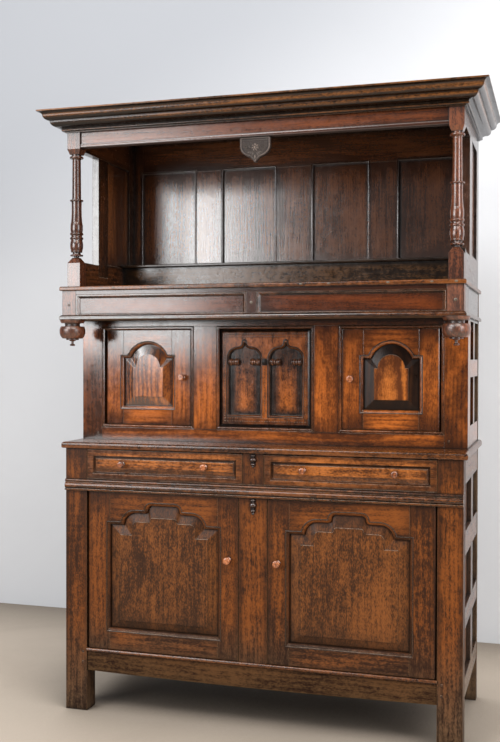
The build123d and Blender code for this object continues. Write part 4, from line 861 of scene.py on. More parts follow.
@dataclass(frozen=True)
class Finishes:
    """Every oak and iron finish on the cupboard, one for each part of it that weathered its own way
    or takes its own painted light and shade.
    """

    base: OakFinish = OakFinish(
        "base_oak", tone(34, 17, 8), tone(92, 49, 18), tone(128, 70, 25), tone(46, 24, 11),
        foot_grey=0.8, rough=0.42, gloss=0.22, grey=tone(92, 72, 52), dirt_reach=0.025,
        line_reach=0.006)
    apron: OakFinish = base.like(
        "apron_oak", foot_grey=1.0, foot_height=0.9, wear=0.7, arris=0.0045, gloss=0.12,
        grey=tone(80, 58, 36), worn=tone(128, 98, 64))
    side: OakFinish = base.like(
        "side_oak", tone(34, 18, 9), tone(86, 50, 24), tone(116, 70, 34), tone(46, 26, 13),
        rough=0.3, gloss=0.9)
    base_panel: OakFinish = base.like(
        "base_panel_oak", tone(34, 19, 9), tone(98, 56, 24), tone(130, 76, 33), tone(50, 28, 13),
        foot_grey=0.5, foot_height=0.55, grey=tone(66, 48, 32), gloss=0.25, speck_share=0.8,
        ring_share=0.08, wear=0.3, slope_dark=0.14)
    drawer: OakFinish = OakFinish(
        "drawer_oak", tone(38, 20, 9), tone(126, 70, 28), tone(184, 108, 46), tone(64, 33, 14),
        dirt_reach=0.016, line_reach=0.006, rough=0.27, cloud_stretch=2.0, slope_dark=0.4)
    moulding: OakFinish = OakFinish(
        "moulding_oak", tone(34, 18, 9), tone(88, 48, 19), tone(126, 72, 29), dirt_reach=0.016,
        side_margin=(-0.02, 0.0), end_margin=(-0.2, 0.0), rough=0.24, gloss=0.6, wear=0.5,
        cloud_stretch=1.8)
    frieze_line: OakFinish = moulding.like(
        "frieze_line_oak", tone(22, 12, 6), tone(64, 34, 14), tone(98, 54, 22),
        dirt_reach=0.012, rough=0.2, gloss=0.85, bend=1.55, wear=0.35, relief=0.14,
        cloud_stretch=3.6)
    # Its downward faces take painted shade.
    cornice: OakFinish = moulding.like(
        "cornice_oak", tone(18, 10, 5), tone(74, 43, 18), tone(136, 84, 38), tone(34, 19, 9),
        dirt=1.0, dirt_reach=0.022, line_reach=0.012, under_dark=0.92, under_lean=(0.3, 0.72),
        rough=0.22, gloss=0.55, wear=0.35, dents=0.2, cloud_share=1.2, cloud_stretch=0.8,
        mottle_share=0.3)
    # Its wood just under the frieze takes a painted shadow.
    middle: OakFinish = OakFinish(
        "middle_oak", tone(28, 14, 7), tone(122, 62, 21), tone(192, 104, 37), tone(88, 44, 17),
        middle_glow=0.95, margin_dark=0.75, dirt_reach=0.05, rough=0.14, gloss=0.9, patchy=0.6,
        mottle_share=0.3, speck_share=0.4, fibre_share=0.3, cloud_share=0.55,
        side_margin=(-0.01, 0.016), eave=(1.275, 1.31), relief=0.14)
    middle_panel: OakFinish = middle.like(
        "middle_panel_oak", tone(28, 14, 7), tone(136, 70, 24), tone(212, 120, 44),
        tone(84, 41, 15), side_margin=(0.004, 0.035), end_margin=(0.0, 0.05), margin_dark=0.5,
        ring_share=0.2, rough=0.16, patchy=0.4, gloss=1.0, bend=1.6, cloud_share=0.4,
        slope_dark=0.35, dirt_reach=0.02, eave=None)
    # Its bevels take heavy painted shade.
    dull_panel: OakFinish = middle_panel.like(
        "dull_panel_oak", tone(18, 9, 5), tone(130, 70, 27), tone(200, 116, 48), tone(84, 42, 16),
        side_margin=(0.004, 0.03), end_margin=(0.0, 0.04), ring_share=0.3, rough=0.34, patchy=1.0,
        gloss=0.25, bend=1.5, slope_dark=0.94)
    # Its niches take painted shadow and painted warm light.
    arcade: OakFinish = OakFinish(
        "arcade_oak", tone(28, 14, 7), tone(106, 54, 18), tone(170, 92, 31), tone(52, 26, 11),
        middle_glow=0.8, side_margin=(0.0, 0.03), end_margin=(0.0, 0.05), margin_dark=0.6,
        ring_share=0.08, rough=0.22, gloss=0.6, mottle_share=0.7, speck_share=0.6, fibre_share=0.3,
        niche=Niche(), relief=0.2, dirt_reach=0.025)
    frieze: OakFinish = OakFinish(
        "frieze_oak", tone(24, 11, 5), tone(80, 37, 13), tone(112, 53, 17), tone(58, 26, 10),
        dirt_reach=0.02, rough=0.19, gloss=0.8, cloud_stretch=2.0, relief=0.34, dents=0.25,
        patchy=0.6, mottle_share=0.2, speck_share=0.5)
    rail: OakFinish = frieze.like(
        "rail_oak", tone(24, 11, 5), tone(84, 40, 15), tone(116, 58, 20), tone(58, 27, 11),
        dirt_reach=0.012, rough=0.2, gloss=0.85, bend=1.55, relief=0.3, wear=0.1, shine=0.0,
        slope_rough=0.8, slope_dark=0.3, arris=0.0006)
    top: OakFinish = OakFinish(
        "top_oak", tone(22, 12, 7), tone(62, 34, 17), tone(98, 53, 24),
        rough=0.22, gloss=0.85, bend=1.6, relief=0.16)
    ledge: OakFinish = OakFinish(
        "ledge_oak", tone(16, 9, 5), tone(48, 30, 13), tone(84, 54, 24), tone(26, 15, 7),
        rough=0.2, gloss=0.7, relief=0.7, mottle_share=0.8, cloud_share=1.1, cloud_stretch=1.6)
    back: OakFinish = OakFinish(
        "back_oak", tone(26, 14, 8), tone(84, 46, 24), tone(132, 78, 40), tone(54, 29, 16),
        dirt_reach=0.03, rough=0.2, gloss=0.9, bend=1.7, relief=0.55, dents=0.2, patchy=0.5,
        speck_share=0.4, ring_share=0.05, mottle_share=0.12, cloud_share=0.8, cloud_stretch=1.6)
    inner: OakFinish = OakFinish(
        "dry_oak", tone(60, 44, 30), tone(106, 82, 58), tone(142, 112, 82),
        rough=0.74, gloss=0.3, dirt=0.8, relief=0.5, wear=0.25)
    peg: OakFinish = OakFinish(
        "peg_oak", tone(30, 17, 9), tone(74, 42, 20), tone(100, 60, 31),
        side_margin=(-0.03, 0.0), end_margin=(-0.2, 0.0), wear=0.2)
    punched: OakFinish = peg.like(
        "punched_oak", tone(14, 8, 5), tone(30, 16, 9), tone(44, 24, 13), wear=0.1, gloss=0.2)
    # Dark tones that paint the shield's ground and the niche boss as shaded.
    carved: OakFinish = peg.like(
        "carved_oak", tone(16, 10, 8), tone(34, 23, 18), tone(52, 37, 31), line_reach=0.004,
        line_dirt=1.0, gloss=0.3, rough=0.42, worn=tone(190, 172, 160), wear=0.8, arris=0.001)
    # Pale tones that paint the raised carving as lit: a painted highlight.
    relief: OakFinish = peg.like(
        "relief_oak", tone(120, 98, 88), tone(172, 148, 134), tone(206, 184, 168),
        line_reach=0.003, dirt_reach=0.006, gloss=0.6, arris=0.0, wear=0.4)
    stud: OakFinish = peg.like(
        "stud_oak", tone(160, 130, 96), tone(208, 178, 140), tone(236, 214, 184),
        gloss=1.0, rough=0.25, dirt=0.0, line_dirt=0.0, arris=0.0, wear=0.4)
    turned: OakFinish = peg.like(
        "turned_oak", tone(28, 14, 8), tone(82, 43, 26), tone(124, 70, 42), tone(48, 24, 14),
        dirt_reach=0.012, line_reach=0.004, relief=0.03, dents=0.0, patchy=0.15, rough=0.26,
        gloss=0.9, bend=1.55, mottle_share=0.25, arris=0.0, wear=0.4)
    pendant: OakFinish = turned.like(
        "pendant_oak", tone(30, 15, 9), tone(92, 50, 31), tone(136, 80, 52), tone(54, 28, 16),
        rough=0.34)
    bobbin: OakFinish = turned.like(
        "bobbin_oak", tone(48, 25, 15), tone(104, 60, 38), tone(156, 104, 72), pore=None, dirt=0.0,
        dirt_reach=0.008, line_dirt=0.3, line_reach=0.003, patchy=0.2, rough=0.2, gloss=1.0,
        bend=1.6, mottle_share=0.5)
    knob: OakFinish = bobbin.like(
        "knob_oak", tone(84, 42, 20), tone(158, 86, 44), tone(204, 122, 68), dirt=0.3,
        dirt_reach=0.012, line_dirt=0.7, line_reach=0.004, ring_share=0.1, relief=0.04, dents=0.2,
        rough=0.22)
    iron: IronFinish = IronFinish()


FINISH_OF_NODE: dict[str, str] = {
    "base_front_posts": "base", "base_muntins": "base", "apron_rail": "apron", "waist_rail": "base",
    "base_mouldings": "moulding", "split_turnings": "turned", "base_side_frames": "side",
    "base_side_panels": "base_panel", "base_rear_frame": "inner", "base_back_boards": "inner",
    "base_floor_boards": "inner", "drawer_runners": "inner", "base_top_board": "moulding",
    "hinge_pins": "iron", "middle_front_frame": "middle", "middle_opening_beads": "middle",
    "centre_panel": "arcade", "arch_bobbins": "bobbin", "middle_side_frames": "middle",
    "middle_side_panels": "middle_panel", "right_middle_door_panel": "dull_panel",
    "middle_rear_frame": "inner", "middle_back_boards": "inner", "middle_floor_boards": "inner",
    "frieze_pendants": "pendant", "frieze_frame": "frieze", "frieze_panels": "frieze",
    "frieze_panel_mouldings": "frieze_line", "frieze_lower_moulding": "frieze_line",
    "frieze_sides": "frieze", "frieze_soffit": "inner", "frieze_top_board": "moulding",
    "frame_pegs": "peg", "top_posts": "turned", "top_side_frames": "top", "top_side_panels": "back",
    "top_front_rail": "rail", "shield_plaque": "carved", "back_frame": "back",
    "back_panels": "back", "back_ledge": "ledge", "canopy_boards": "inner", "cornice": "cornice",
}
FINISH_OF_ENDING: dict[str, str] = {
    "base_door_frame": "base", "base_door_panel": "base_panel", "middle_door_frame": "middle",
    "middle_door_panel": "middle_panel", "door_latch": "knob", "drawer_front": "drawer",
    "drawer_box": "inner", "drawer_knobs": "knob",
}


@dataclass
class JoinedParts:
    """The cupboard's own made parts, each kept as it is and given its finish."""

    finishes: Finishes
    marks: BoardMarks
    materials: dict[str, bpy.types.Material] = field(default_factory=dict)

    def material(self, finish: str) -> bpy.types.Material:
        """Give the material of a finish, made once.

        Args:
            finish: The finish's field name.

        Returns:
            The material.
        """
        if finish not in self.materials:
            self.materials[finish] = getattr(self.finishes, finish).dress()
        return self.materials[finish]

    def finish_of(self, node: str) -> str:
        """Name the finish that a node takes.

        Args:
            node: The node's name.

        Returns:
            The finish's field name.
        """
        if node in FINISH_OF_NODE:
            return FINISH_OF_NODE[node]
        return next(finish for ending, finish in FINISH_OF_ENDING.items() if node.endswith(ending))

    def dress(self) -> None:
        """Finish every node."""
        carrier = self.marks.carrier()
        for name, part in sorted(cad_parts.items()):
            twin_mesh = part.data.copy()
            boards = self.marks.write(part.data, twin_mesh)
            twin = bpy.data.objects.new(f"{name}_marks", twin_mesh)
            modifier = part.modifiers.new("board_marks", "NODES")
            modifier.node_group = carrier
            modifier["Socket_1"] = twin
            finish = self.finish_of(name)
            for slot in part.material_slots:
                slot.link = "OBJECT"
                slot.material = self.material(finish)
            LOG.info("%s: %d boards in %s", name, boards, finish)


# ---- Outlines of openings, as seen from the front, in metres ----
Spot = tuple[float, float]
Step = tuple[float, float]
ARC_STEP = 11
MITRE_LIMIT = 0.3
BESIDE = (-1, 1)


def curve(start: Spot, end: Spot, turn: float) -> list[Spot]:
    """Follow an arc from one spot to another.

    Args:
        start: Where it starts.
        end: Where it ends.
        turn: How far it turns to the left, in degrees; a turn to the right is negative.

    Returns:
        The spots after the start, up to the end.
    """
    if not turn:
        return [end]
    reach = Vector((end[0] - start[0], end[1] - start[1]))
    half = math.radians(turn) / 2
    hub = (Vector(start) + Vector(end)) / 2 + Vector((-reach.y, reach.x)) / (2 * math.tan(half))
    steps = max(2, math.ceil(abs(turn) / ARC_STEP))
    arm = Vector(start) - hub
    turns = [2 * half * step / steps for step in range(1, steps + 1)]
    return [(hub.x + arm.x * math.cos(a) - arm.y * math.sin(a),
             hub.y + arm.x * math.sin(a) + arm.y * math.cos(a)) for a in turns]


def mirrored(centre: float, crown: float, *points: tuple[float, ...]) -> list[Spot]:
    """Close an outline that is the same on both sides.

    Args:
        centre: Its middle, in millimetres.
        crown: How far the arc over its top turns, in degrees.
        points: Its right-hand points, low to high: offset, height and the turn of the arc to it.

    Returns:
        The outline's spots, counter-clockwise.
    """
    turns = [point[2] if len(point) > 2 else 0.0 for point in points]
    right = [(centre + point[0], point[1], turn) for point, turn in zip(points, turns)]
    left = [(centre - point[0], point[1], turn)
            for point, turn in zip(points[::-1], [crown] + turns[:0:-1])]
    path = right + left
    spots: list[Spot] = []
    for last, here in zip(path[-1:] + path[:-1], path):
        spots += curve(last[:2], here[:2], here[2])
    return [(x * MILLIMETRE, z * MILLIMETRE) for x, z in spots]


def box_outline(x: Band, z: Band) -> list[Spot]:
    """A rectangle's corners, from millimetres, counter-clockwise."""
    corners = ((x[0], z[0]), (x[1], z[0]), (x[1], z[1]), (x[0], z[1]))
    return [(across * MILLIMETRE, height * MILLIMETRE) for across, height in corners]


def round_trip(sides: int) -> list[float]:
    """Equal turns once round a circle, in radians."""
    return [2 * math.pi * side / sides for side in range(sides)]


@dataclass
class Piece:
    """One applied or carved piece, gathered shape by shape and then made."""

    name: str
    finish: str
    body: str
    slot: str
    spots: list[Point] = field(default_factory=list)
    faces: list[tuple[int, ...]] = field(default_factory=list)
    grains: list[Point] = field(default_factory=list)
    luck: float = 0.4
    sharp_angle: float = 38.0

    def skin(self, first: int, sides: int, rings: int, closed: bool = False) -> None:
        """Join rings of spots into a skin, with a cap over the first ring unless it is closed.

        Args:
            first: The number of the first ring's first spot.
            sides: How many spots each ring has.
            rings: How many rings there are.
            closed: Whether the last ring joins the first.
        """
        for ring in range(rings if closed else rings - 1):
            low, high = first + ring * sides, first + (ring + 1) % rings * sides
            for side in range(sides):
                after = (side + 1) % sides
                self.faces.append((low + side, high + side, high + after, low + after))
        if not closed:
            self.faces.append(tuple(range(first + sides - 1, first - 1, -1)))

    def cap(self, sides: int) -> None:
        """Close the last ring."""
        self.faces.append(tuple(range(len(self.spots) - sides, len(self.spots))))

    def run(self, path: Sequence[Spot], face: float, profile: Sequence[Step],
            closed: bool = True) -> None:
        """Run a moulding along a path on a face.

        Args:
            path: Where it runs, in metres, as seen from the front.
            face: The depth of the face that it stands on, in metres.
            profile: Its section, as steps out from the path and up from the face, in millimetres.
            closed: Whether the path comes back to its start.
        """
        count, first = len(path), len(self.spots)
        for index, spot in enumerate(path):
            here = Vector(spot)
            first_end, last_end = not closed and index == 0, not closed and index == count - 1
            back = Vector(path[1]) - here if first_end else here - Vector(path[index - 1])
            ahead = back if last_end else Vector(path[(index + 1) % count]) - here
            back, ahead = back.normalized(), ahead.normalized()
            sides = Vector((back.y, -back.x)), Vector((ahead.y, -ahead.x))
            lean = (sides[0] + sides[1]) / max(1 + sides[0].dot(sides[1]), MITRE_LIMIT)
            course = (back + ahead).normalized()
            for out, up in profile:
                self.spots.append((here.x + lean.x * out * MILLIMETRE, face - up * MILLIMETRE,
                                   here.y + lean.y * out * MILLIMETRE))
                self.grains.append((course.x, 0.0, course.y))
        self.skin(first, len(profile), count, closed)
        if not closed:
            self.cap(len(profile))

    def dome(self, spot: Spot, face: float, width: float, height: float, stand: float,
             lean: float = 0.0) -> None:
        """Raise a low oval dome on a face.

        Args:
            spot: Its middle, in metres, as seen from the front.
            face: The depth of the face, in metres.
            width: Half its width, in millimetres.
            height: Half its height, in millimetres.
            stand: How far it stands out, in millimetres.
            lean: How far it is turned, in radians.
        """
        sides, rings, first = 12, 3, len(self.spots)
        for ring in range(rings):
            slope = math.pi / 2 * ring / rings
            for angle in round_trip(sides):
                x = width * math.cos(angle) * math.cos(slope)
                z = height * math.sin(angle) * math.cos(slope)
                across = x * math.cos(lean) - z * math.sin(lean)
                upward = x * math.sin(lean) + z * math.cos(lean)
                self.spots.append((spot[0] + across * MILLIMETRE,
                                   face - stand * math.sin(slope) * MILLIMETRE,
                                   spot[1] + upward * MILLIMETRE))
        self.skin(first, sides, rings)
        low, tip = first + (rings - 1) * sides, len(self.spots)
        self.spots.append((spot[0], face - stand * MILLIMETRE, spot[1]))
        self.grains += [(0.0, 0.0, 1.0)] * (sides * rings + 1)
        self.faces += [(low + side, low + (side + 1) % sides, tip) for side in range(sides)]

    def turn(self, start: Point, along: Point, profile: Sequence[Step]) -> None:
        """Turn a solid about a line, as on a lathe.

        Args:
            start: Where the line starts, in metres.
            along: The way that the line runs, as a unit vector.
            profile: Steps along the line and out from it, in millimetres.
        """
        sides, first, line = 20, len(self.spots), Vector(along)
        out = line.orthogonal().normalized()
        over = line.cross(out)
        for step, radius in profile:
            middle = Vector(start) + line * step * MILLIMETRE
            for angle in round_trip(sides):
                arm = (out * math.cos(angle) + over * math.sin(angle)) * radius * MILLIMETRE
                self.spots.append(tuple(middle + arm))
                self.grains.append(along)
        self.skin(first, sides, len(profile))
        self.cap(sides)

    def make(self, parts: JoinedParts) -> bpy.types.Object:
        """Make the piece and set it on its body.

        Args:
            parts: The made parts, which hold the finishes.

        Returns:
            The new object.
        """
        mesh = bpy.data.meshes.new(self.name)
        mesh.from_pydata(self.spots, [], self.faces)
        shape = bmesh.new()
        shape.from_mesh(mesh)
        bmesh.ops.recalc_face_normals(shape, faces=shape.faces)
        shape.to_mesh(mesh)
        shape.free()
        mesh.polygons.foreach_set("use_smooth", [True] * len(mesh.polygons))
        mesh.set_sharp_from_angle(angle=math.radians(self.sharp_angle))
        tables = {Mark.MIDDLE: self.spots, Mark.REACH: [(1.0, 1.0, 1.0)] * len(self.spots),
                  Mark.GRAIN: self.grains}
        for mark, table in tables.items():
            layer = mesh.attributes.new(mark.value, "FLOAT_VECTOR", "POINT")
            layer.data.foreach_set("vector", np.array(table, np.float32).ravel())
        layer = mesh.attributes.new(Mark.LUCK.value, "FLOAT", "POINT")
        layer.data.foreach_set("value", [self.luck] * len(self.spots))
        mesh.materials.append(parts.material(self.finish))
        piece = bpy.data.objects.new(self.name, mesh)
        bpy.context.scene.collection.objects.link(piece)
        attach(piece, self.body)
        LOG.info("%s: %d faces on %s", self.name, len(mesh.polygons), self.body)
        return piece


def bead(start: float, width: float, stand: float) -> list[Step]:
    """The section of a small rounded bead, let a little into the face.

    Args:
        start: How far out from the path it starts, in millimetres.
        width: Its width, in millimetres.
        stand: How far it stands out, in millimetres.

    Returns:
        The steps of its section.
    """
    sunk, fullness = -0.4, 0.6
    crown = [(start + width * share, stand * math.sin(math.pi * share) ** fullness)
             for share in (0.12, 0.32, 0.5, 0.68, 0.88)]
    return [(start, sunk), (start, 0.0), *crown, (start + width, 0.0), (start + width, sunk)]


def ball(start: float, width: float, neck: float, radius: float) -> list[Step]:
    """The half section of a turned ball between two necks.

    Args:
        start: Where it starts along the line, in millimetres.
        width: How long it is, in millimetres.
        neck: The radius at its ends, in millimetres.
        radius: The radius at its middle, in millimetres.

    Returns:
        The steps of its section.
    """
    fullness = 0.55
    return [(start + width * share, neck + (radius - neck) * math.sin(math.pi * share) ** fullness)
            for share in (0.02, 0.12, 0.3, 0.5, 0.7, 0.88, 0.98)]


def ball_row(length: float, radius: float, row: Sequence[tuple[float, ...]]) -> list[Step]:
    """The half section of turned balls in a row.

    Args:
        length: The length of the turning, in millimetres.
        radius: What the balls' own radii are shares of, in millimetres.
        row: Each ball's start and width as shares of the length, its neck in millimetres, and its
            radius as a share.

    Returns:
        The steps of the section.
    """
    first_step = 0.2
    steps: list[Step] = []
    for start, width, neck, share in row:
        steps += ball(max(length * start, first_step), length * width, neck, radius * share)
    return steps


@dataclass(frozen=True)
class TurnedTrim:
    """The spools and the boss of the two niches, and the split drops on the base's muntins."""

    spool_x: tuple[float, ...] = (17.0, 91.0)
    spool_y: float = -0.0945
    spool_z: float = 1.169
    spool_length: float = 34.0
    spool_radius: float = 12.5
    spool_end: float = 7.0
    spool_balls: tuple[tuple[float, ...], ...] = (
        (0.0, 0.11, 7.0, 0.84), (0.13, 0.24, 6.5, 1.0), (0.39, 0.22, 6.0, 0.76),
        (0.63, 0.24, 6.5, 1.0), (0.89, 0.1, 7.0, 0.84))
    boss_y: float = -0.099
    boss_foot: Step = (-1.0, 10.0)
    boss_balls: tuple[tuple[float, ...], ...] = ((0.0, 2.6, 10.0, 11.5), (2.7, 2.8, 6.6, 8.0))
    boss_tip: tuple[Step, ...] = ((5.8, 4.6), (6.8, 2.6), (7.0, 0.8))
    drop_y: float = -0.229
    drop_end: float = 8.0
    drop_balls: tuple[tuple[float, ...], ...] = (
        (0.0, 0.1, 8.0, 10.5), (0.12, 0.08, 5.0, 8.0), (0.2, 0.34, 5.0, 12.8),
        (0.55, 0.07, 4.5, 8.6), (0.63, 0.2, 4.5, 9.8), (0.84, 0.15, 2.5, 4.6))
    drops: tuple[Band, ...] = ((0.875, 41.0), (0.734, 50.0))

    def make(self, parts: JoinedParts) -> None:
        """Turn the spools, the boss and the drops."""
        length, end = self.spool_length, self.spool_end
        rings = ball_row(length, self.spool_radius, self.spool_balls)
        section = [(0.0, end), *rings, (length, end)]
        spools = Piece("turned_spools", "bobbin", "carcase", "oak_turned")
        for side in BESIDE:
            for low in self.spool_x:
                x = min(side * low, side * (low + length))
                spools.turn((x * MILLIMETRE, self.spool_y, self.spool_z), (1.0, 0.0, 0.0), section)
        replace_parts(spools.make(parts), "arch_bobbins")
        rings = [step for numbers in self.boss_balls for step in ball(*numbers)]
        boss = Piece("niche_boss", "carved", "carcase", "oak_turned")
        boss.turn((0.0, self.boss_y, self.spool_z), (0.0, -1.0, 0.0),
                  [self.boss_foot, *rings, *self.boss_tip])
        boss.make(parts)
        drops = Piece("turned_drops", "turned", "carcase", "oak_turned")
        for top, height in self.drops:
            drops.turn((0.0, self.drop_y, top), (0.0, 0.0, -1.0),
                       [(0.0, self.drop_end), *ball_row(height, 1.0, self.drop_balls)])
        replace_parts(drops.make(parts), "split_turnings")


@dataclass(frozen=True)
class DoorBeads:
    """The thin raised lines round the shaped openings of the four doors."""

    base_y: float = -0.229
    base_centre: float = 307.5
    base_half: float = 188.5
    base_z: Band = (285.0, 628.0)
    lobe: Band = (99.0, 41.0)
    crown_half: float = 41.0
    ogee: float = 13.0
    middle_y: float = -0.099
    middle_centre: float = 416.5
    middle_half: float = 88.5
    middle_z: Band = (1018.0, 1180.0)
    arch_radius: float = 69.0
    arch_below: float = 22.0
    out: float = 9.6
    width: float = 3.0
    stand: float = 1.3

    def stepped(self, side: int) -> list[Spot]:
        """The line round a base door's opening.

        Args:
            side: The door's side, -1 or 1.

        Returns:
            The line's spots.
        """
        out, ogee, (low, shoulder), (lobe_x, radius) = self.out, self.ogee, self.base_z, self.lobe
        reach, flat = radius + out, shoulder + radius
        first = math.asin(out / reach)
        return mirrored(side * self.base_centre, 0.0, (self.base_half + out, low - out),
                        (self.base_half + out, shoulder + out),
                        (lobe_x + reach * math.cos(first), shoulder + out),
                        (lobe_x, flat + out, 90.0 - math.degrees(first)),
                        (self.crown_half + 2 * ogee, flat + out),
                        (self.crown_half + ogee + out, flat + ogee, -90.0),
                        (self.crown_half, flat + 2 * ogee + out, 90.0))

    def arched(self, side: int) -> list[Spot]:
        """The line round a middle door's opening.

        Args:
            side: The door's side, -1 or 1.

        Returns:
            The line's spots.
        """
        out, (low, shoulder) = self.out, self.middle_z
        reach = self.arch_radius + out
        spring = math.sqrt(reach ** 2 - (self.arch_below + out) ** 2)
        turn = 2 * math.degrees(math.asin(spring / reach))
        return mirrored(side * self.middle_centre, turn, (self.middle_half + out, low - out),
                        (self.middle_half + out, shoulder + out), (spring, shoulder + out))

    def make(self, parts: JoinedParts) -> None:
        """Run a line round each opening."""
        section = bead(0.0, self.width, self.stand)
        for side, word in zip(BESIDE, ("left", "right")):
            for door, finish, path, face in (
                    (f"{word}_base_door", "moulding", self.stepped(side), self.base_y),
                    (f"{word}_middle_door", "frieze_line", self.arched(side), self.middle_y)):
                line = Piece(f"{door}_line", finish, door, "oak_moulding")
                line.run(path, face, section)
                line.make(parts)


@dataclass(frozen=True)
class BackPanelling:
    """The beads round the four panels of the top tier's back, and the marks of its age."""

    face_y: float = 0.275
    panel_y: float = 0.283
    sight_z: Band = (1530.0, 1877.0)
    sights_x: tuple[Band, ...] = ((72.0, 271.0), (383.0, 592.0))
    bead_width: float = 8.0
    bead_stand: float = 2.6
    crack: tuple[Step, ...] = ((-0.7, -0.3), (-0.5, 0.25), (0.5, 0.25), (0.7, -0.3))
    cracks: tuple[tuple[Spot, ...], ...] = (
        ((-0.548, 1.546), (-0.531, 1.566), (-0.512, 1.585), (-0.496, 1.592), (-0.478, 1.613)),
        ((-0.512, 1.585), (-0.506, 1.566), (-0.489, 1.548), (-0.484, 1.536)),
        ((-0.542, 1.603), (-0.527, 1.618), (-0.515, 1.613), (-0.503, 1.631)),
        ((-0.239, 1.574), (-0.215, 1.567), (-0.196, 1.579), (-0.171, 1.588)),
        ((0.106, 1.602), (0.128, 1.633), (0.148, 1.641)),
    )

    def make(self, parts: JoinedParts) -> None:
        """Make the beads and the cracks."""
        beads = Piece("back_panel_beads", "back", "carcase", "oak_moulding")
        section = bead(0.0, self.bead_width, self.bead_stand)
        for side in BESIDE:
            for span in self.sights_x:
                x = tuple(sorted(side * edge for edge in span))
                beads.run(box_outline(x, self.sight_z), self.face_y, section)
        beads.make(parts)
        marks = Piece("back_panel_cracks", "punched", "carcase", "oak_panel")
        for path in self.cracks:
            marks.run(path, self.panel_y, self.crack, False)
        marks.make(parts)


@dataclass(frozen=True)
class ShieldCarving:
    """The carved relief of the small shield: a beaded border, a rosette, two scrolls and leaves."""

    face_y: float = -0.215
    top_z: float = 1884.0
    edge: tuple[tuple[float, ...], ...] = (
        (3.0, -80.0), (20.0, -62.0, -40.0), (36.0, -55.0, 30.0), (50.0, -31.0, 50.0), (50.0, 0.0))
    border: Point = (-5.5, 4.0, 1.8)
    rosette_z: float = 1851.0
    petals: int = 7
    petal: Point = (3.2, 6.0, 2.2)
    petal_ring: float = 8.0
    eye: Point = (3.4, 3.4, 3.0)
    scroll_steps: int = 17
    scroll_turns: float = 1.35
    scroll_reach: float = 11.0
    scroll_close: float = 0.82
    scroll_hub: Band = (27.0, -2.0)
    scroll_bead: Point = (-1.3, 2.6, 1.7)
    leaves: int = 3
    leaf: Point = (2.4, 6.5, 1.8)
    leaf_x: Band = (8.5, 0.62)
    leaf_z: Band = (-22.5, 3.5)
    leaf_lean: Band = (0.5, 0.42)
    tail_z: float = -31.0
    tail: Point = (2.8, 8.5, 2.2)
    stipple_seed: int = 41
    stipple_rows: int = 16
    stipple_half: int = 10
    stipple_top: float = 17.0
    stipple_pitch: Band = (4.3, 3.6)
    stipple_stray: Band = (1.1, 0.9)
    stipple_edge: Point = (43.0, 26.0, 0.62)
    stipple_width: Band = (0.9, 1.5)
    stipple_height: Band = (1.0, 1.8)
    stipple_stand: float = 0.9
    pearls: int = 13
    pearl_pitch: float = 6.6
    pearl_drop: float = 10.5
    pearl: Point = (2.1, 2.1, 1.3)

    def raise_dome(self, relief: Piece, x: float, z: float, size: Point, lean: float = 0.0) -> None:
        """Raise one dome of the relief.

        Args:
            relief: The piece to add to.
            x: How far right of the shield's middle it is, in millimetres.
            z: Its height, in millimetres.
            size: Half its width and height and how far it stands out, in millimetres.
            lean: How far it is turned, in radians.
        """
        relief.dome((x * MILLIMETRE, z * MILLIMETRE), self.face_y, *size, lean)

    def rosette(self, relief: Piece) -> None:
        """Carve the rosette."""
        for angle in round_trip(self.petals):
            x, z = -math.sin(angle) * self.petal_ring, math.cos(angle) * self.petal_ring
            self.raise_dome(relief, x, self.rosette_z + z, self.petal, angle)
        self.raise_dome(relief, 0.0, self.rosette_z, self.eye)

    def scroll(self, relief: Piece, side: int) -> None:
        """Carve the scroll and the leaves of one side.

        Args:
            relief: The piece to add to.
            side: The shield's side, -1 or 1.
        """
        hub_x, hub_z = side * self.scroll_hub[0], self.rosette_z + self.scroll_hub[1]
        path = []
        for step in range(self.scroll_steps + 1):
            share = step / self.scroll_steps
            angle = 2 * math.pi * self.scroll_turns * share
            arm = self.scroll_reach * (1 - self.scroll_close * share)
            path.append(((hub_x + side * arm * math.cos(angle)) * MILLIMETRE,
                         (hub_z + arm * math.sin(angle)) * MILLIMETRE))
        relief.run(path, self.face_y, bead(*self.scroll_bead), False)
        for number in range(self.leaves):
            x = side * self.leaf_x[0] * (1 + self.leaf_x[1] * number)
            z = self.rosette_z + self.leaf_z[0] + self.leaf_z[1] * number
            lean = side * (self.leaf_lean[0] + self.leaf_lean[1] * number)
            self.raise_dome(relief, x, z, self.leaf, lean)

    def stipple(self, relief: Piece) -> None:
        """Strike the ground with small uneven dots."""
        stray = random.Random(self.stipple_seed)
        half, start, closing = self.stipple_edge
        for row in range(self.stipple_rows):
            for column in range(-self.stipple_half, self.stipple_half + 1):
                drop = self.stipple_top + row * self.stipple_pitch[1]
                drop += stray.uniform(-self.stipple_stray[1], self.stipple_stray[1])
                across = column * self.stipple_pitch[0]
                across += stray.uniform(-self.stipple_stray[0], self.stipple_stray[0])
                if abs(across) < half - max(0.0, drop - start) * closing:
                    size = (stray.uniform(*self.stipple_width), stray.uniform(*self.stipple_height),
                            self.stipple_stand)
                    self.raise_dome(relief, across, self.top_z - drop, size)

    def make(self, parts: JoinedParts) -> None:
        """Carve the relief."""
        relief = Piece("shield_carving", "relief", "carcase", "oak_panel")
        outline = [(point[0], self.top_z + point[1], *point[2:]) for point in self.edge]
        relief.run(mirrored(0.0, 0.0, *outline), self.face_y, bead(*self.border))
        self.rosette(relief)
        for side in BESIDE:
            self.scroll(relief, side)
        self.raise_dome(relief, 0.0, self.rosette_z + self.tail_z, self.tail)
        self.stipple(relief)
        for number in range(self.pearls):
            x = (number - self.pearls // 2) * self.pearl_pitch
            self.raise_dome(relief, x, self.top_z - self.pearl_drop, self.pearl)
        relief.make(parts)


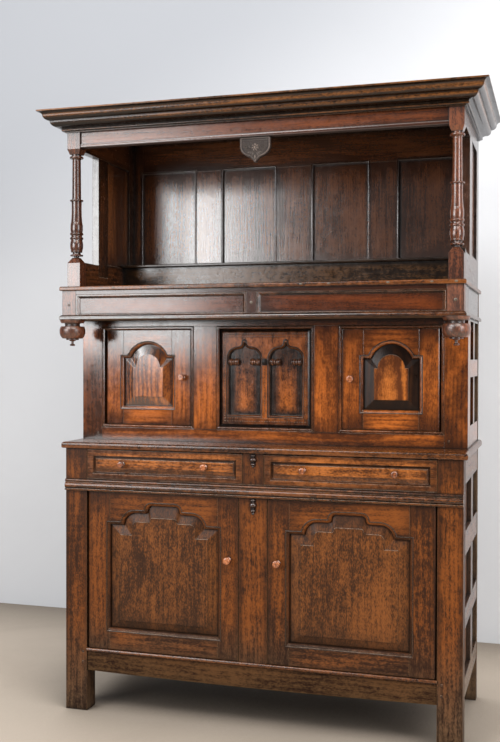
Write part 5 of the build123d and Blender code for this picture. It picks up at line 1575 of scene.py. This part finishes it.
@dataclass(frozen=True)
class ArcadePanel:
    """The trim of the middle tier's fixed panel: mouldings round its niches, and punch marks."""

    board_y: float = -0.099
    foot_z: float = 994.0
    spring_z: float = 1180.0
    niche_centre: float = 71.0
    niche_half: float = 54.0
    head_round: float = 32.0
    head_gap: float = 0.6
    moulding: Point = (3.6, 5.0, 2.2)
    punch_pitch: float = 0.0085
    punch: Point = (2.1, 2.1, 0.3)
    upright_rows: tuple[Point, ...] = ((0.1385, 0.972, 1.262), (0.0, 1.0, 1.16))
    level_rows: tuple[float, ...] = (1.2605, 1.2515, 0.972, 0.982)
    level_half: int = 16
    crown_mark: Point = (3.4, 3.4, 0.4)
    crown_z: float = 1.2435

    def niche(self, side: int) -> list[Spot]:
        """The outline of one niche.

        Args:
            side: The niche's side, -1 or 1.

        Returns:
            The outline's spots.
        """
        hollow = self.niche_half - self.head_round
        head = self.spring_z + self.head_round
        return mirrored(side * self.niche_centre, 0.0, (self.niche_half, self.foot_z),
                        (self.niche_half, self.spring_z), (hollow, head, 90.0),
                        (self.head_gap, head + hollow, -90.0))

    def make(self, parts: JoinedParts) -> None:
        """Make the mouldings and the marks."""
        trim = Piece("niche_mouldings", "moulding", "carcase", "oak_moulding")
        for side in BESIDE:
            trim.run(self.niche(side), self.board_y, bead(*self.moulding))
        trim.make(parts)
        pitch = self.punch_pitch
        marks = [((side * row, low + number * pitch), self.punch)
                 for side in BESIDE for row, low, high in self.upright_rows
                 for number in range(int((high - low) / pitch))]
        marks += [((number * pitch, height), self.punch) for height in self.level_rows
                  for number in range(-self.level_half, self.level_half + 1)]
        marks += [((side * self.niche_centre * MILLIMETRE, self.crown_z), self.crown_mark)
                  for side in BESIDE]
        punches = Piece("punch_marks", "punched", "carcase", "oak_panel")
        for spot, size in marks:
            punches.dome(spot, self.board_y, *size)
        punches.make(parts)


@dataclass(frozen=True)
class FriezeStuds:
    """The pale heads of the pins that hold the frieze together."""

    edge_y: float = -0.262
    edge_z: float = 1.411
    edge_x: tuple[float, ...] = (-0.47, -0.21, 0.163, 0.251, 0.433, 0.564, 0.636)
    edge_head: Point = (5.0, 3.0, 0.5)
    block_y: float = -0.2548
    block_z: float = 1.357
    block_x: tuple[float, ...] = (0.0, 0.633)
    block_head: Point = (5.0, 5.0, 1.0)

    def make(self, parts: JoinedParts) -> None:
        """Make the heads."""
        studs = Piece("frieze_studs", "stud", "carcase", "oak_turned")
        for x in self.edge_x:
            studs.dome((x, self.edge_z), self.edge_y, *self.edge_head)
        for x in self.block_x:
            studs.dome((x, self.block_z), self.block_y, *self.block_head)
        studs.make(parts)


# ---- Stage, light and camera ----
@dataclass
class Stage:
    """The pale floor and wall behind the cupboard."""

    reach: float = 7.0
    wall_y: float = 1.0
    wall_height: float = 5.0
    # The floor takes a painted shadow near the cupboard; the wall a painted dimming upward and to
    # the left.
    floor: StageFinish = StageFinish("pale_floor", tone(202, 189, 174), tone(198, 185, 170),
                                     2.2, 0.7, contact=1.0)
    wall: StageFinish = StageFinish("pale_wall", tone(222, 225, 230), tone(219, 222, 227),
                                    0.8, 0.9, dim=tone(182, 186, 193))

    def sheet(self, name: str, corners: Sequence[Point], finish: StageFinish) -> None:
        """Lay one flat sheet of the stage.

        Args:
            name: The sheet's name.
            corners: Its corners, counter-clockwise from the front.
            finish: Its finish.
        """
        mesh = bpy.data.meshes.new(name)
        mesh.from_pydata(corners, [], [tuple(range(len(corners)))])
        sheet = bpy.data.objects.new(name, mesh)
        sheet.data.materials.append(finish.dress())
        bpy.context.scene.collection.objects.link(sheet)

    def build(self) -> None:
        """Lay the floor and stand the wall."""
        r, y, h = self.reach, self.wall_y, self.wall_height
        self.sheet("studio_floor", [(-r, -r, 0), (r, -r, 0), (r, y, 0), (-r, y, 0)], self.floor)
        self.sheet("studio_wall", [(-r, y, 0), (r, y, 0), (r, y, h), (-r, y, h)], self.wall)


@dataclass(frozen=True)
class SoftLight:
    """One soft box, and whether shiny wood shows it."""

    name: str
    place: Point
    target: Point
    width: float
    height: float
    power: float
    colour: Colour = (1.0, 1.0, 1.0)
    seen: bool = True

    def build(self) -> None:
        """Hang the light."""
        lamp = bpy.data.lights.new(self.name, "AREA")
        lamp.shape = "RECTANGLE"
        lamp.size, lamp.size_y = self.width, self.height
        lamp.energy, lamp.color = self.power, self.colour
        light = bpy.data.objects.new(self.name, lamp)
        light.location = self.place
        facing = Vector(self.target) - Vector(self.place)
        light.rotation_euler = facing.to_track_quat("-Z", "Y").to_euler()
        light.visible_camera = False
        light.visible_glossy = self.seen
        bpy.context.scene.collection.objects.link(light)


@dataclass(frozen=True)
class Studio:
    """The lights and the air of the studio."""

    air: Colour = (0.93, 0.96, 1.0)
    air_strength: float = 0.1
    lights: tuple[SoftLight, ...] = (
        SoftLight("window_light", (-2.5, -3.6, 1.98), (-0.2, -0.2, 1.98), 2.1, 1.56, 94.0),
        SoftLight("high_left_light", (-1.7, -3.3, 4.2), (0.0, 0.0, 1.0), 2.6, 1.5, 115.0),
        SoftLight("high_right_light", (1.9, -3.0, 4.6), (0.3, 0.2, 0.8), 2.4, 1.8, 115.0,
                  (1.0, 0.94, 0.87)),
        SoftLight("right_light", (3.1, -2.2, 1.9), (0.5, 0.3, 1.0), 1.0, 1.8, 50.0,
                  (0.97, 0.98, 1.0)),
        SoftLight("wall_light", (2.9, -0.7, 1.8), (1.3, 1.0, 1.5), 1.6, 2.4, 46.0, seen=False),
    )

    def build(self) -> None:
        """Light the scene."""
        world = bpy.data.worlds.new("studio_air")
        world.use_nodes = True
        world.node_tree.nodes.clear()
        web = Web(world.node_tree)
        air = web.node("ShaderNodeBackground", None,
                       {"Color": (*self.air, 1.0), "Strength": self.air_strength})
        web.node("ShaderNodeOutputWorld", None, {0: air})
        bpy.context.scene.world = world
        bpy.context.scene.view_settings.view_transform = "Standard"
        for light in self.lights:
            light.build()


@dataclass(frozen=True)
class Camera:
    """The camera, a little right of the middle and level with the waist."""

    place: Point = (0.9361, -3.3128, 1.1866)
    turn: float = 17.07
    tilt: float = -0.81
    roll: float = 0.12
    focal: float = 1017.3
    long_side: float = 742.0
    sensor: float = 36.0

    def build(self) -> None:
        """Stand the camera."""
        turn, tilt, roll = (math.radians(angle) for angle in (self.turn, self.tilt, self.roll))
        ahead = Vector((-math.sin(turn) * math.cos(tilt), math.cos(turn) * math.cos(tilt),
                        math.sin(tilt)))
        level = Vector((math.cos(turn), math.sin(turn), 0.0))
        upward = level.cross(ahead)
        right = level * math.cos(roll) + upward * math.sin(roll)
        above = upward * math.cos(roll) - level * math.sin(roll)
        data = bpy.data.cameras.new("camera")
        data.sensor_width = self.sensor
        data.lens = self.focal * self.sensor / self.long_side
        camera = bpy.data.objects.new("camera", data)
        facing = Matrix((right, above, -ahead)).transposed().to_4x4()
        camera.matrix_world = Matrix.Translation(self.place) @ facing
        bpy.context.scene.collection.objects.link(camera)
        bpy.context.scene.camera = camera


def main() -> None:
    """Dress the cupboard, light it and stand the camera."""
    logging.basicConfig(level=logging.INFO, format="%(message)s")
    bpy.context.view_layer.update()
    Camera().build()
    Stage().build()
    Studio().build()
    parts = JoinedParts(Finishes(), BoardMarks())
    parts.dress()
    for trim in (TurnedTrim(), DoorBeads(), BackPanelling(), ShieldCarving(), ArcadePanel(),
                 FriezeStuds()):
        trim.make(parts)


if __name__ == "__main__":
    main()
